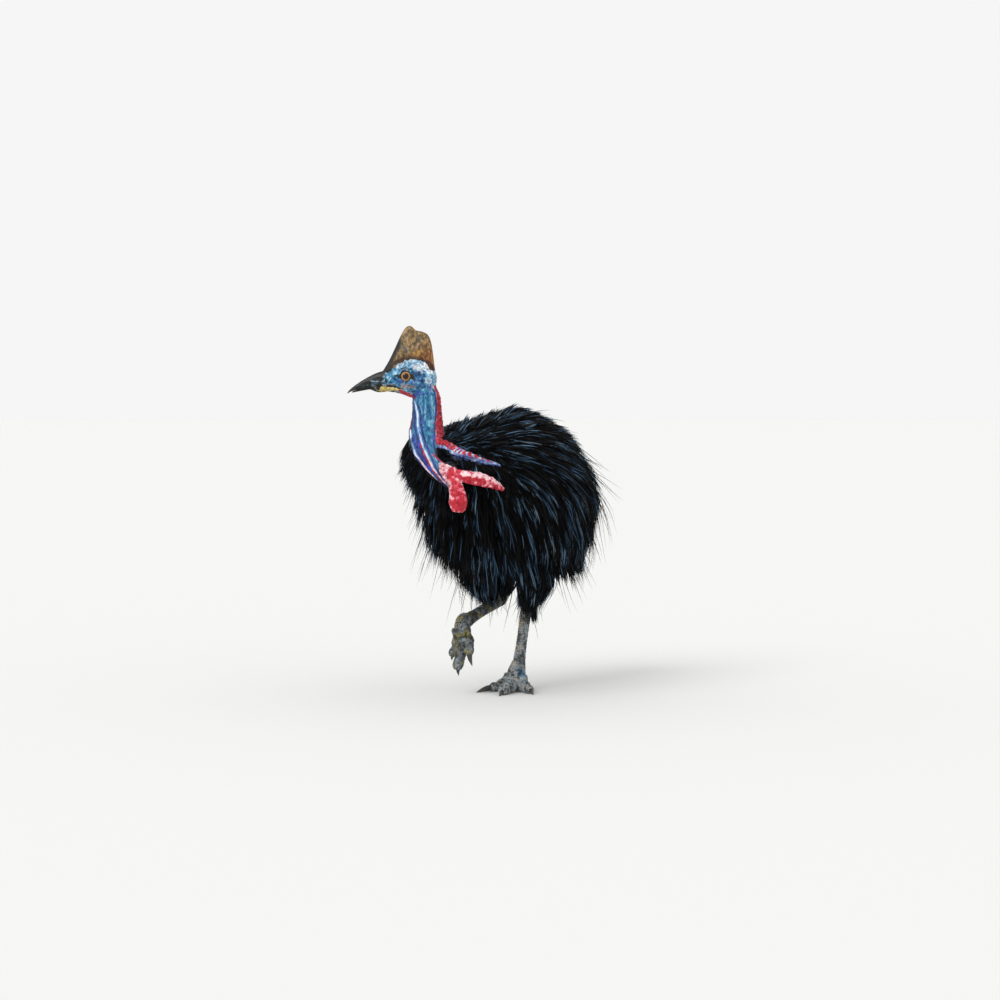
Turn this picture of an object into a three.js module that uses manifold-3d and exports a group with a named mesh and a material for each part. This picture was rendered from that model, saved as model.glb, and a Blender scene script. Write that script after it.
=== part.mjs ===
// A southern cassowary, life-size and still, walking with one leg lifted.
// Millimetres, +Z up. The body faces -Y, its left side is +X, and the floor is z = 0.
// Places below are measured from the floor under the middle of the body.
// The head is turned 45 degrees to the bird's right.

import * as THREE from 'three';
import { mergeVertices } from 'three/addons/utils/BufferGeometryUtils.js';
import Module from 'manifold-3d';

const wasm = await Module();
wasm.setup();

// Driving dimensions: the whole animal
const GAP = 0.3;
const FLOOR = 0;
const HEAD_TURN = THREE.MathUtils.degToRad(45);

// Trunk, out to the tips of its plumage: height, front, back and half width of each level
const TRUNK_MIDDLE_X = -4;
const TRUNK_SLANT = 0.13;
const TRUNK_TOP = { z: 1147, y: 55 };
const TRUNK_LEVELS = [
  { z: 1140, front: -15, back: 131, half: 38 },
  { z: 1112, front: -153, back: 225, half: 90 },
  { z: 1080, front: -303, back: 284, half: 134 },
  { z: 1020, front: -425, back: 380, half: 200 },
  { z: 954, front: -500, back: 423, half: 246 },
  { z: 890, front: -526, back: 459, half: 282 },
  { z: 826, front: -508, back: 484, half: 296 },
  { z: 764, front: -463, back: 507, half: 298 },
  { z: 700, front: -422, back: 499, half: 284 },
  { z: 638, front: -367, back: 482, half: 270 },
  { z: 574, front: -324, back: 467, half: 250 },
  { z: 520, front: -284, back: 410, half: 222 },
  { z: 488, front: -262, back: 372, half: 204 },
];
const TRUNK_SIDES = 30;
const FRONT_FULLNESS = 2.1;
const BACK_FULLNESS = 2;
const HEM = { drop: 22, front: 26, back: 34, half: 22, lock: 40 };
const HEM_INSIDE = { z: 478, shrink: 0.72, dome: 8 };
const TAIL_CUT = { y: 250, z: 800, slope: THREE.MathUtils.degToRad(14) };

// Neck: the bare skin from the head down to the wattles on the breast
const NECK_TOP = { across: -312, z: 1214, long: 46, wide: 38 };
const NECK_LEVELS = [
  { across: -312, toward: 264, z: 1164, long: 53, wide: 42 },
  { across: -312, toward: 264, z: 1104, long: 57, wide: 46 },
  { across: -313, toward: 272, z: 1050, long: 64, wide: 54 },
  { across: -311, toward: 306, z: 1002, long: 69, wide: 60 },
  { across: -302, toward: 362, z: 956, long: 69, wide: 62 },
  { across: -274, toward: 412, z: 908, long: 60, wide: 56 },
  { across: -240, toward: 440, z: 866, long: 46, wide: 44 },
  { across: -212, toward: 446, z: 834, long: 24, wide: 24 },
];
const NECK_CUT_Z = 1066;
const NECK_ENDS = { top: 6, bottom: 9 };

// Head, measured from the middle between the eyes: ahead, up, half height and half width
const HEAD_MIDDLE = { across: -391, toward: 266, z: 1252 };
const HEAD_SECTIONS = [
  { ahead: -115, up: -10, tall: 20, wide: 15 },
  { ahead: -106, up: -12, tall: 43, wide: 28 },
  { ahead: -86, up: -16, tall: 62, wide: 37 },
  { ahead: -54, up: -15, tall: 72, wide: 42 },
  { ahead: -18, up: -10, tall: 71, wide: 42 },
  { ahead: 18, up: -7, tall: 61, wide: 37 },
  { ahead: 49, up: -12, tall: 49, wide: 29 },
  { ahead: 80, up: -16, tall: 41, wide: 22 },
];
const BILL_ROOT = 76;
const CASQUE_OUTLINE = [
  { ahead: 98, top: 10, half: 5 },
  { ahead: 86, top: 25, half: 12 },
  { ahead: 64, top: 62, half: 18 },
  { ahead: 40, top: 112, half: 23 },
  { ahead: 18, top: 160, half: 26 },
  { ahead: 0, top: 186, half: 27 },
  { ahead: -18, top: 192, half: 28 },
  { ahead: -38, top: 176, half: 28 },
  { ahead: -60, top: 171, half: 28 },
  { ahead: -82, top: 160, half: 27 },
  { ahead: -95, top: 134, half: 25 },
  { ahead: -103, top: 90, half: 21 },
  { ahead: -108, top: 47, half: 14 },
];
const CASQUE_FOOT = -6;
const CASQUE_TAPER = { strength: 0.5, from: 70, least: 6, fullness: 2.3 };
const UPPER_BILL = [
  { ahead: BILL_ROOT + GAP, top: 25, edge: -37, half: 22.5 },
  { ahead: 94, top: 19, edge: -37, half: 20.5 },
  { ahead: 117, top: 11, edge: -39, half: 17 },
  { ahead: 151, top: -6, edge: -45, half: 12.5 },
  { ahead: 185, top: -27, edge: -51, half: 8.5 },
  { ahead: 210, top: -46, edge: -58, half: 5 },
  { ahead: 222, top: -58, edge: -65, half: 2.2 },
];
const LOWER_BILL = [
  { ahead: BILL_ROOT + GAP, edge: -37.6, keel: -58, half: 21 },
  { ahead: 94, edge: -37.6, keel: -61, half: 18.5 },
  { ahead: 117, edge: -39.6, keel: -58, half: 15.5 },
  { ahead: 140, edge: -43.8, keel: -52, half: 12.5 },
  { ahead: 160, edge: -47.4, keel: -55, half: 9.8 },
  { ahead: 185, edge: -51.8, keel: -59, half: 7 },
  { ahead: 206, edge: -58.4, keel: -63, half: 3.5 },
];
const BILL_RIDGE = 0.8;
const EYE = { radius: 21, side: 24.5, flatten: 0.92 };
const ORBIT = { long: 27, deep: 8, tall: 24, side: 43 };

// Wattles and the bare stripes of skin on the shoulders, by how far across and toward the eye
const WATTLE_HANGING = [
  { across: -206, toward: 474, z: 872, r: 16 },
  { across: -196, toward: 489, z: 844, r: 25 },
  { across: -190, toward: 497, z: 810, r: 32 },
  { across: -188, toward: 498, z: 778, r: 36 },
  { across: -188, toward: 497, z: 754, r: 28 },
];
const WATTLE_SWUNG = [
  { across: -182, toward: 480, z: 880, r: 17 },
  { across: -146, toward: 488, z: 874, r: 25 },
  { across: -104, toward: 482, z: 866, r: 26 },
  { across: -62, toward: 460, z: 851, r: 21 },
  { across: -22, toward: 432, z: 829, r: 11 },
];
const WATTLE_FLATTEN = 0.86;
const SHOULDER_STRIPE = { turns: [0.22, 0.98], z: [992, 912], thick: 15, tall: 24, steps: 6 };

// Wings: a small arm on each flank, below the shoulder
const WING = { turns: [1.2, 1.72], z: [880, 760], tall: 30, thick: 14, steps: 4 };

// Legs: centres of the joints, and the plumage of the thighs
const LEFT_FOOT = { x: -30, y: 83 };
const LEFT_HEADING = THREE.MathUtils.degToRad(25);
const LEFT_TARSUS_TOP = { x: -6, y: 118, z: 366 };
const RIGHT_TARSUS_TOP = { x: -115, y: 66, z: 356 };
const RIGHT_FOOT_JOINT = { x: -60, y: -190, z: 286 };
const LEFT_FOOT_JOINT_Z = 62;
const LEFT_THIGH = [
  { x: 96, y: -8, z: 740, along: 60, wide: 50 },
  { x: 116, y: -4, z: 700, along: 128, wide: 106 },
  { x: 120, y: 4, z: 640, along: 156, wide: 112 },
  { x: 104, y: 26, z: 570, along: 146, wide: 104 },
  { x: 74, y: 62, z: 500, along: 124, wide: 104 },
  { x: 40, y: 98, z: 446, along: 116, wide: 98 },
  { x: 18, y: 122, z: 400, along: 100, wide: 86 },
  { x: 6, y: 133, z: 356, along: 84, wide: 76 },
];
const RIGHT_THIGH = [
  { x: -84, y: -46, z: 740, along: 60, wide: 50 },
  { x: -104, y: -50, z: 700, along: 128, wide: 106 },
  { x: -112, y: -50, z: 640, along: 152, wide: 112 },
  { x: -116, y: -44, z: 570, along: 138, wide: 100 },
  { x: -122, y: -28, z: 500, along: 116, wide: 98 },
  { x: -124, y: -8, z: 446, along: 104, wide: 92 },
  { x: -124, y: 8, z: 405, along: 90, wide: 82 },
  { x: -122, y: 18, z: 366, along: 76, wide: 72 },
];
const THIGH_SIDES = 12;
const THIGH_HEM = { drop: 8, shrink: 0.7, lock: 30 };
const THIGH_ENDS = { crown: 12, inside: 4, dome: 10 };
const LEFT_KNEE = { x: 58, y: -66, z: 118 };
const RIGHT_KNEE = { x: -8, y: -58, z: 112 };
const SHANK = [
  { along: -0.16, half: 20.5 },
  { along: -0.08, half: 30.4 },
  { along: 0, half: 33 },
  { along: 0.16, half: 31 },
  { along: 0.42, half: 25.5 },
  { along: 0.75, half: 25 },
  { along: 1, half: 26 },
];
const TARSUS = { topHalf: 22, middleHalf: 18.5, bottomHalf: 27, deeper: 1.18 };

// Feet: three toes, each with a claw, and a pad under the joint
const SPREAD_STANDING = THREE.MathUtils.degToRad(42);
const SPREAD_HANGING = THREE.MathUtils.degToRad(22);
const TOES = {
  inner: { side: -1, toe: 108, claw: 84, thick: 20.5, clawRadius: 13.5 },
  middle: { side: 0, toe: 164, claw: 52, thick: 22.5, clawRadius: 11 },
  outer: { side: 1, toe: 126, claw: 46, thick: 19.5, clawRadius: 10 },
};
const TOE_SIDES = 7;
const TOE_START = 30;
const TOE_THICKNESS = { root: 1.34, tip: 0.86, swelling: 0.12, flat: 2.5 };
const TOE_ARCH = { root: 48, tip: 8, slope: 1.6 };
const CLAW_ARCH = { overlap: 8, taper: 0.88, raise: 1.5, hump: 5, press: 1.2, slim: 0.8 };
const STANDING_PAD = { halfWide: 31, halfLong: 52, halfTall: 46, ahead: 3.3, sink: 4 };
const HANGING_PAD = { halfWide: 29, halfLong: 46, halfTall: 33, ahead: 1, sink: -14 };
const HANGING_FOOT = { ahead: [-10, -58, -190], below: 48, forward: 4 };

// Colours of the surfaces
const LOOKS = {
  plumage: { color: 0x14171c, roughness: 0.7 },
  blueSkin: { color: 0x2f6cab, roughness: 0.6 },
  redSkin: { color: 0xb3202c, roughness: 0.6 },
  horn: { color: 0x8a6a3a, roughness: 0.5 },
  bill: { color: 0x1d2124, roughness: 0.4 },
  eye: { color: 0xd98a2c, roughness: 0.15 },
  legSkin: { color: 0x77766a, roughness: 0.75 },
  claw: { color: 0x2a2723, roughness: 0.45 },
};

// Directions of the profile that the head shows: across (tail side), and toward the viewer of it
const ACROSS = new THREE.Vector3(Math.sin(HEAD_TURN), Math.cos(HEAD_TURN), 0);
const TOWARD = new THREE.Vector3(Math.cos(HEAD_TURN), -Math.sin(HEAD_TURN), 0);
const UP = new THREE.Vector3(0, 0, 1);

function point(x, y, z) {
  return new THREE.Vector3(x, y, z);
}

function pointOf(place) {
  return point(place.x, place.y, place.z);
}

function profilePoint(across, toward, z) {
  return point(0, 0, z).addScaledVector(ACROSS, across).addScaledVector(TOWARD, toward);
}

function headPoint(ahead, side, up) {
  return profilePoint(HEAD_MIDDLE.across - ahead, HEAD_MIDDLE.toward + side, HEAD_MIDDLE.z + up);
}

// Ease between the stations of a table, along one of its columns
function smoothTable(stations, count) {
  const keys = Object.keys(stations[0]);
  const curves = keys.map((key) => stations.map((station) => station[key]));
  const rows = [];
  for (let i = 0; i <= count; i += 1) {
    const place = (i / count) * (stations.length - 1);
    const row = {};
    keys.forEach((key, k) => {
      row[key] = catmull(curves[k], place);
    });
    rows.push(row);
  }
  return rows;
}

function catmull(values, place) {
  const last = values.length - 1;
  const index = Math.min(Math.floor(place), last - 1);
  const t = place - index;
  const before = values[Math.max(index - 1, 0)];
  const here = values[index];
  const next = values[index + 1];
  const after = values[Math.min(index + 2, last)];
  const slopeHere = (next - before) / 2;
  const slopeNext = (after - here) / 2;
  const rise = here - next;
  return here + slopeHere * t + (-3 * rise - 2 * slopeHere - slopeNext) * t * t
    + (2 * rise + slopeHere + slopeNext) * t * t * t;
}

// A closed body through rings of equal count, its ends closed onto a point each
function loft(rings, firstTip, lastTip) {
  const sides = rings[0].length;
  const vertices = [];
  const faces = [];
  rings.forEach((ring) => ring.forEach((p) => vertices.push(p)));
  const first = vertices.push(firstTip) - 1;
  const last = vertices.push(lastTip) - 1;
  for (let i = 0; i < sides; i += 1) {
    const j = (i + 1) % sides;
    faces.push([first, j, i]);
    for (let r = 0; r < rings.length - 1; r += 1) {
      const a = r * sides;
      const b = a + sides;
      faces.push([a + i, a + j, b + j]);
      faces.push([a + i, b + j, b + i]);
    }
    const end = (rings.length - 1) * sides;
    faces.push([last, end + i, end + j]);
  }
  return outward(vertices, faces);
}

// Faces turned outward, whichever way round the rings were walked
function outward(vertices, faces) {
  let volume = 0;
  faces.forEach(([a, b, c]) => {
    volume += vertices[a].dot(vertices[b].clone().cross(vertices[c]));
  });
  const geometry = new THREE.BufferGeometry();
  const order = volume > 0 ? faces.flat() : faces.map(([a, b, c]) => [a, c, b]).flat();
  const flat = vertices.flatMap((p) => [p.x, p.y, p.z]);
  geometry.setAttribute('position', new THREE.Float32BufferAttribute(flat, 3));
  geometry.setIndex(order);
  return geometry;
}

// One ring round a centre, oval, with two directions and two half sizes
function oval(centre, first, second, half, otherHalf, sides, shape = {}) {
  const ring = [];
  for (let i = 0; i < sides; i += 1) {
    const turn = (i / sides) * Math.PI * 2;
    const c = Math.cos(turn);
    const s = Math.sin(turn);
    const fullness = shape.fullness ?? 2;
    const reach = (Math.abs(c) ** fullness + Math.abs(s) ** fullness) ** (-1 / fullness);
    const p = centre.clone();
    p.addScaledVector(first, c * reach * half * (shape.narrow ? shape.narrow(s) : 1));
    p.addScaledVector(second, s * reach * otherHalf);
    ring.push(p);
  }
  return ring;
}

// A round-ended limb through centres with a radius each
function limb(stations, sides, sideways, flatten = 1) {
  const rings = [];
  const centres = stations.map((station) => station.centre);
  stations.forEach((station, i) => {
    const from = centres[Math.max(i - 1, 0)];
    const to = centres[Math.min(i + 1, centres.length - 1)];
    const along = to.clone().sub(from).normalize();
    const across = sideways.clone().addScaledVector(along, -sideways.dot(along)).normalize();
    const other = along.clone().cross(across);
    const half = station.half;
    rings.push(oval(station.centre, across, other, half, station.deep ?? half * flatten, sides));
  });
  const start = centres[0].clone().sub(centres[1]).normalize();
  const end = centres.at(-1).clone().sub(centres.at(-2)).normalize();
  const firstTip = centres[0].clone().addScaledVector(start, stations[0].half * 0.4);
  const lastTip = centres.at(-1).clone().addScaledVector(end, stations.at(-1).half * 0.4);
  return loft(rings, firstTip, lastTip);
}

// Solids for joining and cutting
function solid(geometry) {
  const plain = geometry.clone();
  plain.deleteAttribute('normal');
  plain.deleteAttribute('uv');
  const merged = mergeVertices(plain, 1e-4);
  const vertProperties = new Float32Array(merged.attributes.position.array);
  const triVerts = new Uint32Array(merged.index.array);
  return new wasm.Manifold(new wasm.Mesh({ numProp: 3, vertProperties, triVerts }));
}

function geometryOf(body) {
  const mesh = body.getMesh();
  const geometry = new THREE.BufferGeometry();
  geometry.setAttribute('position', new THREE.Float32BufferAttribute(mesh.vertProperties, 3));
  geometry.setIndex(Array.from(mesh.triVerts));
  return geometry;
}

// The same shape with its surface pushed out, to cut a neighbour clear of it
function grown(geometry, distance = GAP) {
  const plain = geometry.clone();
  plain.deleteAttribute('normal');
  plain.deleteAttribute('uv');
  const merged = mergeVertices(plain, 1e-4);
  merged.computeVertexNormals();
  const position = merged.attributes.position;
  const normal = merged.attributes.normal;
  for (let i = 0; i < position.count; i += 1) {
    const p = new THREE.Vector3().fromBufferAttribute(position, i);
    const n = new THREE.Vector3().fromBufferAttribute(normal, i);
    p.addScaledVector(n, distance);
    position.setXYZ(i, p.x, p.y, p.z);
  }
  return solid(merged);
}

// Half of space as a huge block whose near face passes a point
function halfSpace(through, facing) {
  const size = 4000;
  const block = new THREE.BoxGeometry(size, size, size);
  block.translate(0, 0, size / 2);
  const turn = new THREE.Quaternion().setFromUnitVectors(UP, facing.clone().normalize());
  block.applyQuaternion(turn);
  block.translate(through.x, through.y, through.z);
  return solid(block);
}

// The two sides of a thin flat cut
function part(body, through, facing) {
  const half = facing.clone().normalize().multiplyScalar(GAP / 2);
  const front = body.intersect(halfSpace(through.clone().add(half), facing));
  const back = body.intersect(halfSpace(through.clone().sub(half), facing.clone().negate()));
  return [front, back];
}

// Trunk: levels from the back down to the hem, rounder in front than behind
function trunkRing(level, lift = () => 0) {
  const ring = [];
  for (let i = 0; i < TRUNK_SIDES; i += 1) {
    const turn = (i / TRUNK_SIDES) * Math.PI * 2;
    ring.push(trunkPoint(level, turn).add(point(0, 0, lift(i))));
  }
  return ring;
}

// A turn of 0 is the middle of the breast, and a quarter turn the left flank
function trunkPoint(level, turn) {
  const middleY = (level.front + level.back) / 2;
  const reachY = (level.back - level.front) / 2;
  const x = Math.sin(turn);
  const y = -Math.cos(turn);
  const fullness = y < 0 ? FRONT_FULLNESS : BACK_FULLNESS;
  const reach = (Math.abs(x) ** fullness + Math.abs(y) ** fullness) ** (-1 / fullness);
  const backY = middleY + y * reach * reachY;
  const middleX = TRUNK_MIDDLE_X - TRUNK_SLANT * backY;
  return point(middleX + x * reach * level.half, backY, level.z);
}

function levelAt(z) {
  const levels = TRUNK_LEVELS;
  const below = levels.findIndex((level) => level.z <= z);
  const index = Math.max(below, 1);
  const upper = levels[index - 1];
  const lower = levels[index];
  const place = index - 1 + (upper.z - z) / (upper.z - lower.z);
  const level = { z };
  ['front', 'back', 'half'].forEach((key) => {
    level[key] = catmull(levels.map((entry) => entry[key]), place);
  });
  return level;
}

function trunkShape() {
  const levels = smoothTable(TRUNK_LEVELS, 12);
  const rings = levels.map((level) => trunkRing(level));
  const last = levels.at(-1);
  const hem = {
    z: last.z - HEM.drop,
    front: last.front + HEM.front,
    back: last.back - HEM.back,
    half: last.half - HEM.half,
  };
  rings.push(trunkRing(hem, (i) => (i % 2 === 0 ? 0 : -HEM.lock)));
  const inside = { ...hem, z: HEM_INSIDE.z };
  const middle = (hem.front + hem.back) / 2;
  inside.front = middle + (hem.front - middle) * HEM_INSIDE.shrink;
  inside.back = middle + (hem.back - middle) * HEM_INSIDE.shrink;
  inside.half = hem.half * HEM_INSIDE.shrink;
  rings.push(trunkRing(inside));
  const top = point(TRUNK_MIDDLE_X - TRUNK_SLANT * TRUNK_TOP.y, TRUNK_TOP.y, TRUNK_TOP.z);
  const belly = point(TRUNK_MIDDLE_X - TRUNK_SLANT * middle, middle, HEM_INSIDE.z + HEM_INSIDE.dome);
  return loft(rings, top, belly);
}

// Thighs: plumage from inside the trunk down to a hem of locks above the hock
function thighShape(stations) {
  const rows = smoothTable(stations, 6);
  const along = point(0, 1, 0);
  const wide = point(1, 0, 0);
  const rings = rows.map((row) => (
    oval(point(row.x, row.y, row.z), wide, along, row.wide, row.along, THIGH_SIDES)
  ));
  const first = rows[0];
  const last = rows.at(-1);
  const level = (lift, halfWide, halfAlong) => (
    oval(point(last.x, last.y, last.z + lift), wide, along, halfWide, halfAlong, THIGH_SIDES)
  );
  const hem = level(-THIGH_HEM.drop, last.wide - THIGH_HEM.drop, last.along - THIGH_HEM.drop);
  hem.forEach((p, i) => {
    p.z -= i % 2 === 0 ? 0 : THIGH_HEM.lock;
  });
  rings.push(hem);
  rings.push(level(THIGH_ENDS.inside, last.wide * THIGH_HEM.shrink, last.along * THIGH_HEM.shrink));
  const crown = point(first.x, first.y, first.z + THIGH_ENDS.crown);
  return loft(rings, crown, point(last.x, last.y, last.z + THIGH_ENDS.dome));
}

// Neck: rings square to its run, longer from throat to nape than from side to side
function neckShape() {
  const top = { ...NECK_TOP, toward: NECK_LEVELS[0].toward };
  const rows = smoothTable([top, ...NECK_LEVELS], 10);
  const centres = rows.map((row) => profilePoint(row.across, row.toward, row.z));
  const rings = rows.map((row, i) => {
    const from = centres[Math.max(i - 1, 0)];
    const to = centres[Math.min(i + 1, centres.length - 1)];
    const along = to.clone().sub(from).normalize();
    const long = ACROSS.clone().addScaledVector(along, -ACROSS.dot(along)).normalize();
    const wide = along.clone().cross(long);
    return oval(centres[i], long, wide, row.long, row.wide, 14);
  });
  const last = centres.at(-1).clone().sub(centres.at(-2)).setLength(NECK_ENDS.bottom);
  return loft(rings, centres[0].clone().add(point(0, 0, NECK_ENDS.top)), centres.at(-1).clone().add(last));
}

// Head: oval sections from the back of the skull to the root of the bill
function headShape() {
  const rows = smoothTable(HEAD_SECTIONS, 9);
  const rings = rows.map((row) => oval(
    headPoint(row.ahead, 0, row.up),
    TOWARD,
    UP,
    row.wide,
    row.tall,
    16,
    { narrow: (s) => 1 - 0.1 * s * s },
  ));
  const first = HEAD_SECTIONS[0];
  const last = HEAD_SECTIONS.at(-1);
  return loft(rings, headPoint(first.ahead - 4, 0, first.up), headPoint(last.ahead + 3, 0, last.up));
}

// Casque: a high keel of horn, thinner toward its ridge
function casqueShape() {
  const rows = smoothTable(CASQUE_OUTLINE, 13);
  const rings = rows.map((row) => {
    const middle = (row.top + CASQUE_FOOT) / 2;
    const tall = Math.max((row.top - CASQUE_FOOT) / 2, CASQUE_TAPER.least);
    const strength = CASQUE_TAPER.strength * Math.min(1, tall / CASQUE_TAPER.from);
    const narrow = (s) => 1 - strength * Math.max(0, s);
    const shape = { fullness: CASQUE_TAPER.fullness, narrow };
    return oval(headPoint(row.ahead, 0, middle), TOWARD, UP, row.half, tall, 12, shape);
  });
  const first = CASQUE_OUTLINE[0];
  const last = CASQUE_OUTLINE.at(-1);
  const lastMiddle = (last.top + CASQUE_FOOT) / 2;
  return loft(rings, headPoint(first.ahead + 5, 0, 2), headPoint(last.ahead - 4, 0, lastMiddle));
}

// Bill: a ridged upper half with a flat edge, and a shallow lower half that it closes on
function upperBillShape() {
  const rows = smoothTable(UPPER_BILL, 9);
  const sides = 12;
  const rings = rows.map((row) => {
    const ring = [];
    for (let i = 0; i < sides; i += 1) {
      const turn = (i / (sides - 1)) * Math.PI;
      const ridge = Math.sin(turn) ** BILL_RIDGE;
      ring.push(headPoint(row.ahead, Math.cos(turn) * row.half, row.edge + ridge * (row.top - row.edge)));
    }
    return ring;
  });
  const first = rows[0];
  const last = rows.at(-1);
  const rootUp = (first.top + first.edge) / 2;
  return loft(rings, headPoint(first.ahead, 0, rootUp), headPoint(last.ahead + 4, 0, last.edge - 0.5));
}

function lowerBillShape() {
  const rows = smoothTable(LOWER_BILL, 8);
  const sides = 9;
  const rings = rows.map((row) => {
    const ring = [];
    for (let i = 0; i < sides; i += 1) {
      const turn = (i / (sides - 1)) * Math.PI;
      const up = row.edge - Math.sin(turn) * (row.edge - row.keel);
      ring.push(headPoint(row.ahead, Math.cos(turn) * row.half, up));
    }
    return ring;
  });
  const first = rows[0];
  const last = rows.at(-1);
  const rootUp = (first.edge + first.keel) / 2;
  return loft(rings, headPoint(first.ahead, 0, rootUp), headPoint(last.ahead + 4, 0, last.edge - 1));
}

function eyeShape(side) {
  const ball = new THREE.SphereGeometry(EYE.radius, 12, 8);
  ball.rotateX(Math.PI / 2);
  ball.scale(1, EYE.flatten, 1);
  ball.rotateZ(-HEAD_TURN);
  const centre = headPoint(0, side * EYE.side, 0);
  ball.translate(centre.x, centre.y, centre.z);
  return ball;
}

// The shallow dish round each eye
function orbitShape(side) {
  const dish = new THREE.SphereGeometry(1, 10, 6);
  dish.scale(ORBIT.long, ORBIT.deep, ORBIT.tall);
  dish.rotateZ(Math.PI / 2 - HEAD_TURN);
  const centre = headPoint(0, side * ORBIT.side, 0);
  dish.translate(centre.x, centre.y, centre.z);
  return dish;
}

function wattleShape(stations, sideways) {
  const rows = smoothTable(stations, 7);
  return limb(rows.map((row) => (
    { centre: profilePoint(row.across, row.toward, row.z), half: row.r }
  )), 10, sideways, WATTLE_FLATTEN);
}

// A band laid on the plumage from one turn round the trunk to another, on the left or the right
function flankBand(side, band) {
  const stations = [];
  for (let i = 0; i <= band.steps; i += 1) {
    const t = i / band.steps;
    const turn = THREE.MathUtils.lerp(band.turns[0], band.turns[1], t);
    const z = THREE.MathUtils.lerp(band.z[0], band.z[1], t);
    const centre = trunkPoint(levelAt(z), side * turn);
    const swell = Math.sin(Math.PI * (0.12 + 0.8 * t)) ** 0.6;
    stations.push({ centre, half: band.thick * swell, deep: band.tall * swell });
  }
  const outward = trunkPoint(levelAt(band.z[0]), side * (band.turns[0] + band.turns[1]) / 2);
  outward.z = 0;
  return limb(stations, 7, outward.normalize());
}

// Foot: toes, claws and pad in their own frame, toes ahead along -Y, the joint above the origin
function toeStations(kind) {
  const stations = [];
  const steps = 5;
  for (let i = 0; i <= steps; i += 1) {
    const t = i / steps;
    const along = TOE_START + (kind.toe - TOE_START) * t;
    const swelling = 1 + TOE_THICKNESS.swelling * Math.cos(t * Math.PI * 4);
    const half = kind.thick * THREE.MathUtils.lerp(TOE_THICKNESS.root, TOE_THICKNESS.tip, t) * swelling;
    const arch = THREE.MathUtils.lerp(TOE_ARCH.root, TOE_ARCH.tip, Math.min(1, t * TOE_ARCH.slope));
    const height = Math.max(half - TOE_THICKNESS.flat, arch);
    stations.push({ centre: point(0, -along, height), half });
  }
  return stations;
}

function clawStations(kind, press) {
  const stations = [];
  const steps = 4;
  for (let i = 0; i <= steps; i += 1) {
    const t = i / steps;
    const along = kind.toe - CLAW_ARCH.overlap + (kind.claw + CLAW_ARCH.overlap) * t;
    const half = kind.clawRadius * (1 - CLAW_ARCH.taper * t ** 1.2);
    const hump = CLAW_ARCH.hump * Math.sin(t * Math.PI);
    const height = THREE.MathUtils.lerp(kind.clawRadius + CLAW_ARCH.raise, half - press, t) + hump;
    stations.push({ centre: point(0, -along, height), half: half * CLAW_ARCH.slim, deep: half });
  }
  return stations;
}

function footPieces(side, name, spread, place, standing) {
  const sideways = point(1, 0, 0);
  const press = standing ? CLAW_ARCH.press : 0;
  const padSize = standing ? STANDING_PAD : HANGING_PAD;
  const padGeometry = new THREE.SphereGeometry(1, 12, 8);
  padGeometry.rotateX(Math.PI / 2);
  padGeometry.scale(padSize.halfWide, padSize.halfLong, padSize.halfTall);
  padGeometry.translate(0, -padSize.ahead, padSize.halfTall - padSize.sink);
  padGeometry.applyMatrix4(place);
  const floorCut = halfSpace(point(0, 0, FLOOR), UP);
  const settle = (body) => (standing ? body.intersect(floorCut) : body);
  const pieces = [];
  const toes = Object.entries(TOES).map(([label, kind]) => {
    const turn = new THREE.Matrix4().makeRotationZ(side * kind.side * spread);
    const toe = limb(toeStations(kind), TOE_SIDES, sideways).applyMatrix4(turn).applyMatrix4(place);
    const claw = limb(clawStations(kind, press), 7, sideways).applyMatrix4(turn).applyMatrix4(place);
    return { label, toe, claw };
  });
  const middle = toes.find((entry) => entry.label === 'middle');
  toes.forEach((entry) => {
    let toe = solid(entry.toe).subtract(grown(padGeometry));
    if (entry !== middle) {
      toe = toe.subtract(grown(middle.toe));
    }
    toe = largest(toe.subtract(grown(entry.claw)));
    pieces.push({ name: `toe_${entry.label}_${name}`, body: settle(toe), look: 'legSkin' });
    pieces.push({ name: `claw_${entry.label}_${name}`, body: settle(solid(entry.claw)), look: 'claw' });
  });
  return { pieces, pad: settle(solid(padGeometry)) };
}

// The biggest of the separate bodies that a cut leaves
function largest(body) {
  const bodies = body.decompose();
  return bodies.reduce((best, next) => (next.volume() > best.volume() ? next : best));
}

function tarsusShape(from, to, sideways) {
  const stations = [];
  const steps = 5;
  for (let i = 0; i <= steps; i += 1) {
    const t = i / steps;
    const centre = from.clone().lerp(to, t);
    const waist = Math.sin(Math.PI * t);
    const ends = THREE.MathUtils.lerp(TARSUS.topHalf, TARSUS.bottomHalf, t);
    const half = ends * (1 - waist) + TARSUS.middleHalf * waist;
    stations.push({ centre, half, deep: half * TARSUS.deeper });
  }
  return limb(stations, 10, sideways);
}

function shankShape(hock, above, sideways) {
  const stations = SHANK.map(({ along, half }) => ({ centre: hock.clone().lerp(above, along), half }));
  return limb(stations, 10, sideways);
}

const model = new THREE.Group();

function add(name, body, look) {
  const material = new THREE.MeshStandardMaterial({ ...LOOKS[look], metalness: 0 });
  const mesh = new THREE.Mesh(geometryOf(body), material);
  mesh.name = name;
  model.add(mesh);
}

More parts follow.
